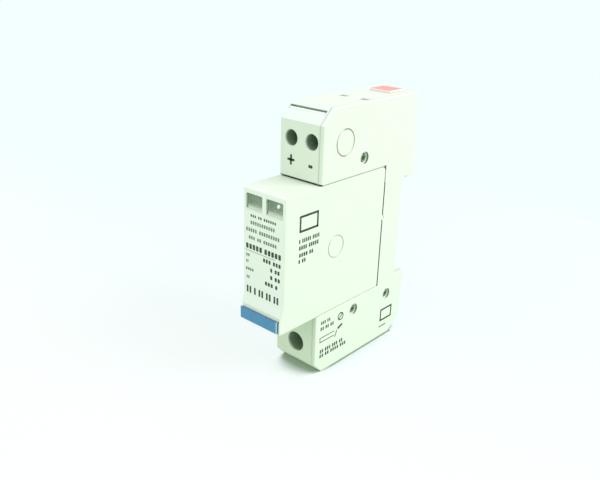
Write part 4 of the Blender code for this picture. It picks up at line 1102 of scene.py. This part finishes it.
headSide = {
    "depth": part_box("base_cover")[1].x,
    "rows": [
        (-41.6, -36.5, -23.0, 1.25, (3, 2), 0.40, 0.5),
        (-41.7, -34.6, -25.2, 1.30, (2, 2, 2), 0.40, 0.6),
        (-41.6, -29.3, -33.9, 1.40, (2, 3, 3, 2), 0.42, 0.6),
        (-41.7, -27.4, -35.7, 1.30, (2, 2, 4, 3), 0.42, 0.6),
    ],
    "wire": [(-38.0, -28.6, 7.4, 0.28, 0.0), (-38.0, -30.2, 7.4, 0.28, 0.0), (-41.6, -29.4, 0.28, 1.9, 0.0)],
    "blade": [(-33.3, -29.9, 0.4, 2.6, -24.0), (-31.2, -27.9, 2.6, 0.9, 22.0)],
    "slot": (-31.1, -24.1, 2.2, 0.4, 50.0),
    "head": (-31.1, -24.1, 1.30, 0.38),        # ring round the slot: across, up, radius and line
    "panel": (-3.6, -33.2, 7.2, 5.0, 0.68),
    "underline": (-5.4, -37.9, 4.2, 0.4, 0.0),
}
headMarks = headSide["wire"] + headSide["blade"] + [headSide["slot"], headSide["underline"]]
headMarks += emptyFrame(*headSide["panel"]) + emptyRing(*headSide["head"])
for line in headSide["rows"]:
    headMarks += words(*line)
printPiece("headSidePrint", "side", headSide["depth"], headMarks, "ink", "base")

poleSigns = {
    "depth": 44.0 * mm,
    "plus": [(-4.1, 30.75, 3.0, 0.78, 0.0), (-4.1, 30.75, 0.78, 3.3, 0.0)],
    "minus": [(3.95, 30.1, 1.65, 0.95, 0.0)],
}
printPiece("poleSigns", "front", poleSigns["depth"], poleSigns["plus"] + poleSigns["minus"], "ink", "base")
for master in barsMade.values():
    bpy.data.objects.remove(master)
print("print laid")


# Stage: pale floor with the part's shadow, cast by the lamps and partly painted near its foot, soft light
# from the upper right, and the photograph's view.

stage = {
    "backdrop": (0.896, 1.0, 1.0),
    "foreground": (0.985, 0.995, 0.990),
    "floorColour": (0.85, 0.975, 0.955),
    "bounceColour": (0.60, 0.73, 0.59),    # what the floor throws back on the part
    "floorSize": 12.0,
    "shadowReach": 0.09,       # beyond this the floor shows the plain backdrop
    "fadeEnd": 0.22,
    "plainShare": 0.74,        # of the backdrop's look that stays inside that reach
    "frontFade": ("Y", 0.05, -0.12),       # from the backdrop's colour to the foreground's
    "paperSize": 2 * mm,
    "contactReach": 0.040,
    "contactRange": (0.575, 0.34),         # open share of the surroundings, from no shadow to full
    "contactShadowColour": (0.130, 0.205, 0.105),
    "edgeLine": 8.92 * mm,                 # across, where a thin shadow runs along the foot
    "edgeWidth": (0.55 * mm, 0.18 * mm),
    "edgeFront": ("Y", -41 * mm, -33 * mm),
    "edgeRear": ("Y", 0.4 * mm, -0.2 * mm),
    # colour of the painted shadow along the foot
    "edgeColour": (0.12, 0.165, 0.10),
    "skyLevel": 0.86,
}


def stageMaterial():
    finish = Finish("stageFloor")
    rays = finish.tree.nodes.new("ShaderNodeLightPath")
    seen = Value(finish, rays.outputs["Is Camera Ray"])
    for ray in ("Is Glossy Ray", "Is Transmission Ray"):
        seen = finish.maths("MAXIMUM", seen, Value(finish, rays.outputs[ray]))
    away = finish.node("ShaderNodeVectorMath", {"operation": "LENGTH"}, {0: finish.where()}, "Value")
    far = finish.spread(away, stage["shadowReach"], stage["fadeEnd"])
    plain = finish.maths("MAXIMUM", far, stage["plainShare"]) * seen
    paper = finish.noise(stage["paperSize"], 4.0)
    colour = finish.blend(paper, tinted(stage["floorColour"], 0.99), stage["floorColour"])
    colour = finish.blend(seen, stage["bounceColour"], colour)
    lit = finish.node("ShaderNodeBsdfDiffuse", {}, {"Color": colour})
    shown = finish.blend(finish.along(stage["frontFade"]), stage["backdrop"], stage["foreground"])
    # painted shadow: the floor as seen turns dark where the part closes it in, and along a thin line by its
    # foot
    reach = {"Distance": stage["contactReach"]}
    openness = finish.node("ShaderNodeAmbientOcclusion", {"samples": 16}, reach, "AO")
    contact = finish.spread(openness, *stage["contactRange"])
    shown = finish.blend(contact, shown, stage["contactShadowColour"])
    apart = finish.length("X") - stage["edgeLine"]
    fromEdge = finish.node("ShaderNodeMath", {"operation": "ABSOLUTE"}, {0: apart})
    edge = finish.spread(fromEdge, *stage["edgeWidth"])
    edge = edge * finish.along(stage["edgeFront"]) * finish.along(stage["edgeRear"])
    shown = finish.blend(edge, shown, stage["edgeColour"])
    glow = finish.node("ShaderNodeEmission", {}, {"Color": shown, "Strength": 1.0})
    mixed = finish.node("ShaderNodeMixShader", {}, {0: plain, 1: lit, 2: glow})
    finish.tree.links.new(mixed.socket, finish.output.inputs["Surface"])
    return finish.material


bpy.ops.object.select_all(action="DESELECT")
bpy.ops.mesh.primitive_plane_add(size=stage["floorSize"], location=(0.0, 0.0, cadLow.z))
floor = bpy.context.object
floor.name = "floor"
floor.data.materials.append(stageMaterial())

world = bpy.data.worlds.new("studio")
bpy.context.scene.world = world
world.use_nodes = True
sky = world.node_tree
sky.nodes.clear()
skyOutput = sky.nodes.new("ShaderNodeOutputWorld")
skyRays = sky.nodes.new("ShaderNodeLightPath")
skyLight = sky.nodes.new("ShaderNodeBackground")
skyLight.inputs["Color"].default_value = (1.0, 1.0, 1.0, 1.0)
skyLight.inputs["Strength"].default_value = stage["skyLevel"]
skySeen = sky.nodes.new("ShaderNodeBackground")
skySeen.inputs["Color"].default_value = (*stage["backdrop"], 1.0)
skySeen.inputs["Strength"].default_value = 1.0
skyMix = sky.nodes.new("ShaderNodeMixShader")
sky.links.new(skyRays.outputs["Is Camera Ray"], skyMix.inputs[0])
sky.links.new(skyLight.outputs[0], skyMix.inputs[1])
sky.links.new(skySeen.outputs[0], skyMix.inputs[2])
sky.links.new(skyMix.outputs[0], skyOutput.inputs["Surface"])

middle = (cadLow + cadHigh) / 2
lamps = {
    "keyLamp": {"direction": (0.80, 0.35, 0.75), "distance": 0.60, "size": 0.32, "level": 0.52},
    "fillLamp": {"direction": (-0.15, -0.95, 0.55), "distance": 0.80, "size": 0.60, "level": 0.17},
}
for name, lamp in lamps.items():
    toLamp = Vector(lamp["direction"]).normalized()
    data = bpy.data.lights.new(name, "AREA")
    data.size = lamp["size"]
    data.energy = lamp["level"] * math.pi ** 2 * lamp["distance"] ** 2     # adds this level to a white face
    made = bpy.data.objects.new(name, data)
    bpy.context.scene.collection.objects.link(made)
    made.location = middle + toLamp * lamp["distance"]
    made.rotation_mode = "QUATERNION"
    made.rotation_quaternion = toLamp.to_track_quat("Z", "Y")

view = {
    "position": (132.593 * mm, -192.897 * mm, 86.344 * mm),
    "azimuth": 41.550,
    "elevation": 22.183,
    "roll": 1.743,
    "lens": 40.3909,
    "sensor": 36.0,
}
azimuth, elevation, roll = (math.radians(view[part]) for part in ("azimuth", "elevation", "roll"))
back = Vector((
    math.sin(azimuth) * math.cos(elevation),
    -math.cos(azimuth) * math.cos(elevation),
    math.sin(elevation),
))
right = Vector((0.0, 0.0, 1.0)).cross(back).normalized()
up = back.cross(right)
looking = (Matrix.Rotation(-roll, 3, "Z") @ Matrix((right, up, back))).transposed()
cameraData = bpy.data.cameras.new("photoCamera")
cameraData.sensor_width = view["sensor"]
cameraData.lens = view["lens"]
cameraData.clip_start = 0.01
cameraData.clip_end = 50.0
camera = bpy.data.objects.new("photoCamera", cameraData)
bpy.context.scene.collection.objects.link(camera)
camera.matrix_world = Matrix.Translation(view["position"]) @ looking.to_4x4()
bpy.context.scene.camera = camera
bpy.context.scene.view_settings.view_transform = "Standard"
print("stage, lamps and camera set")
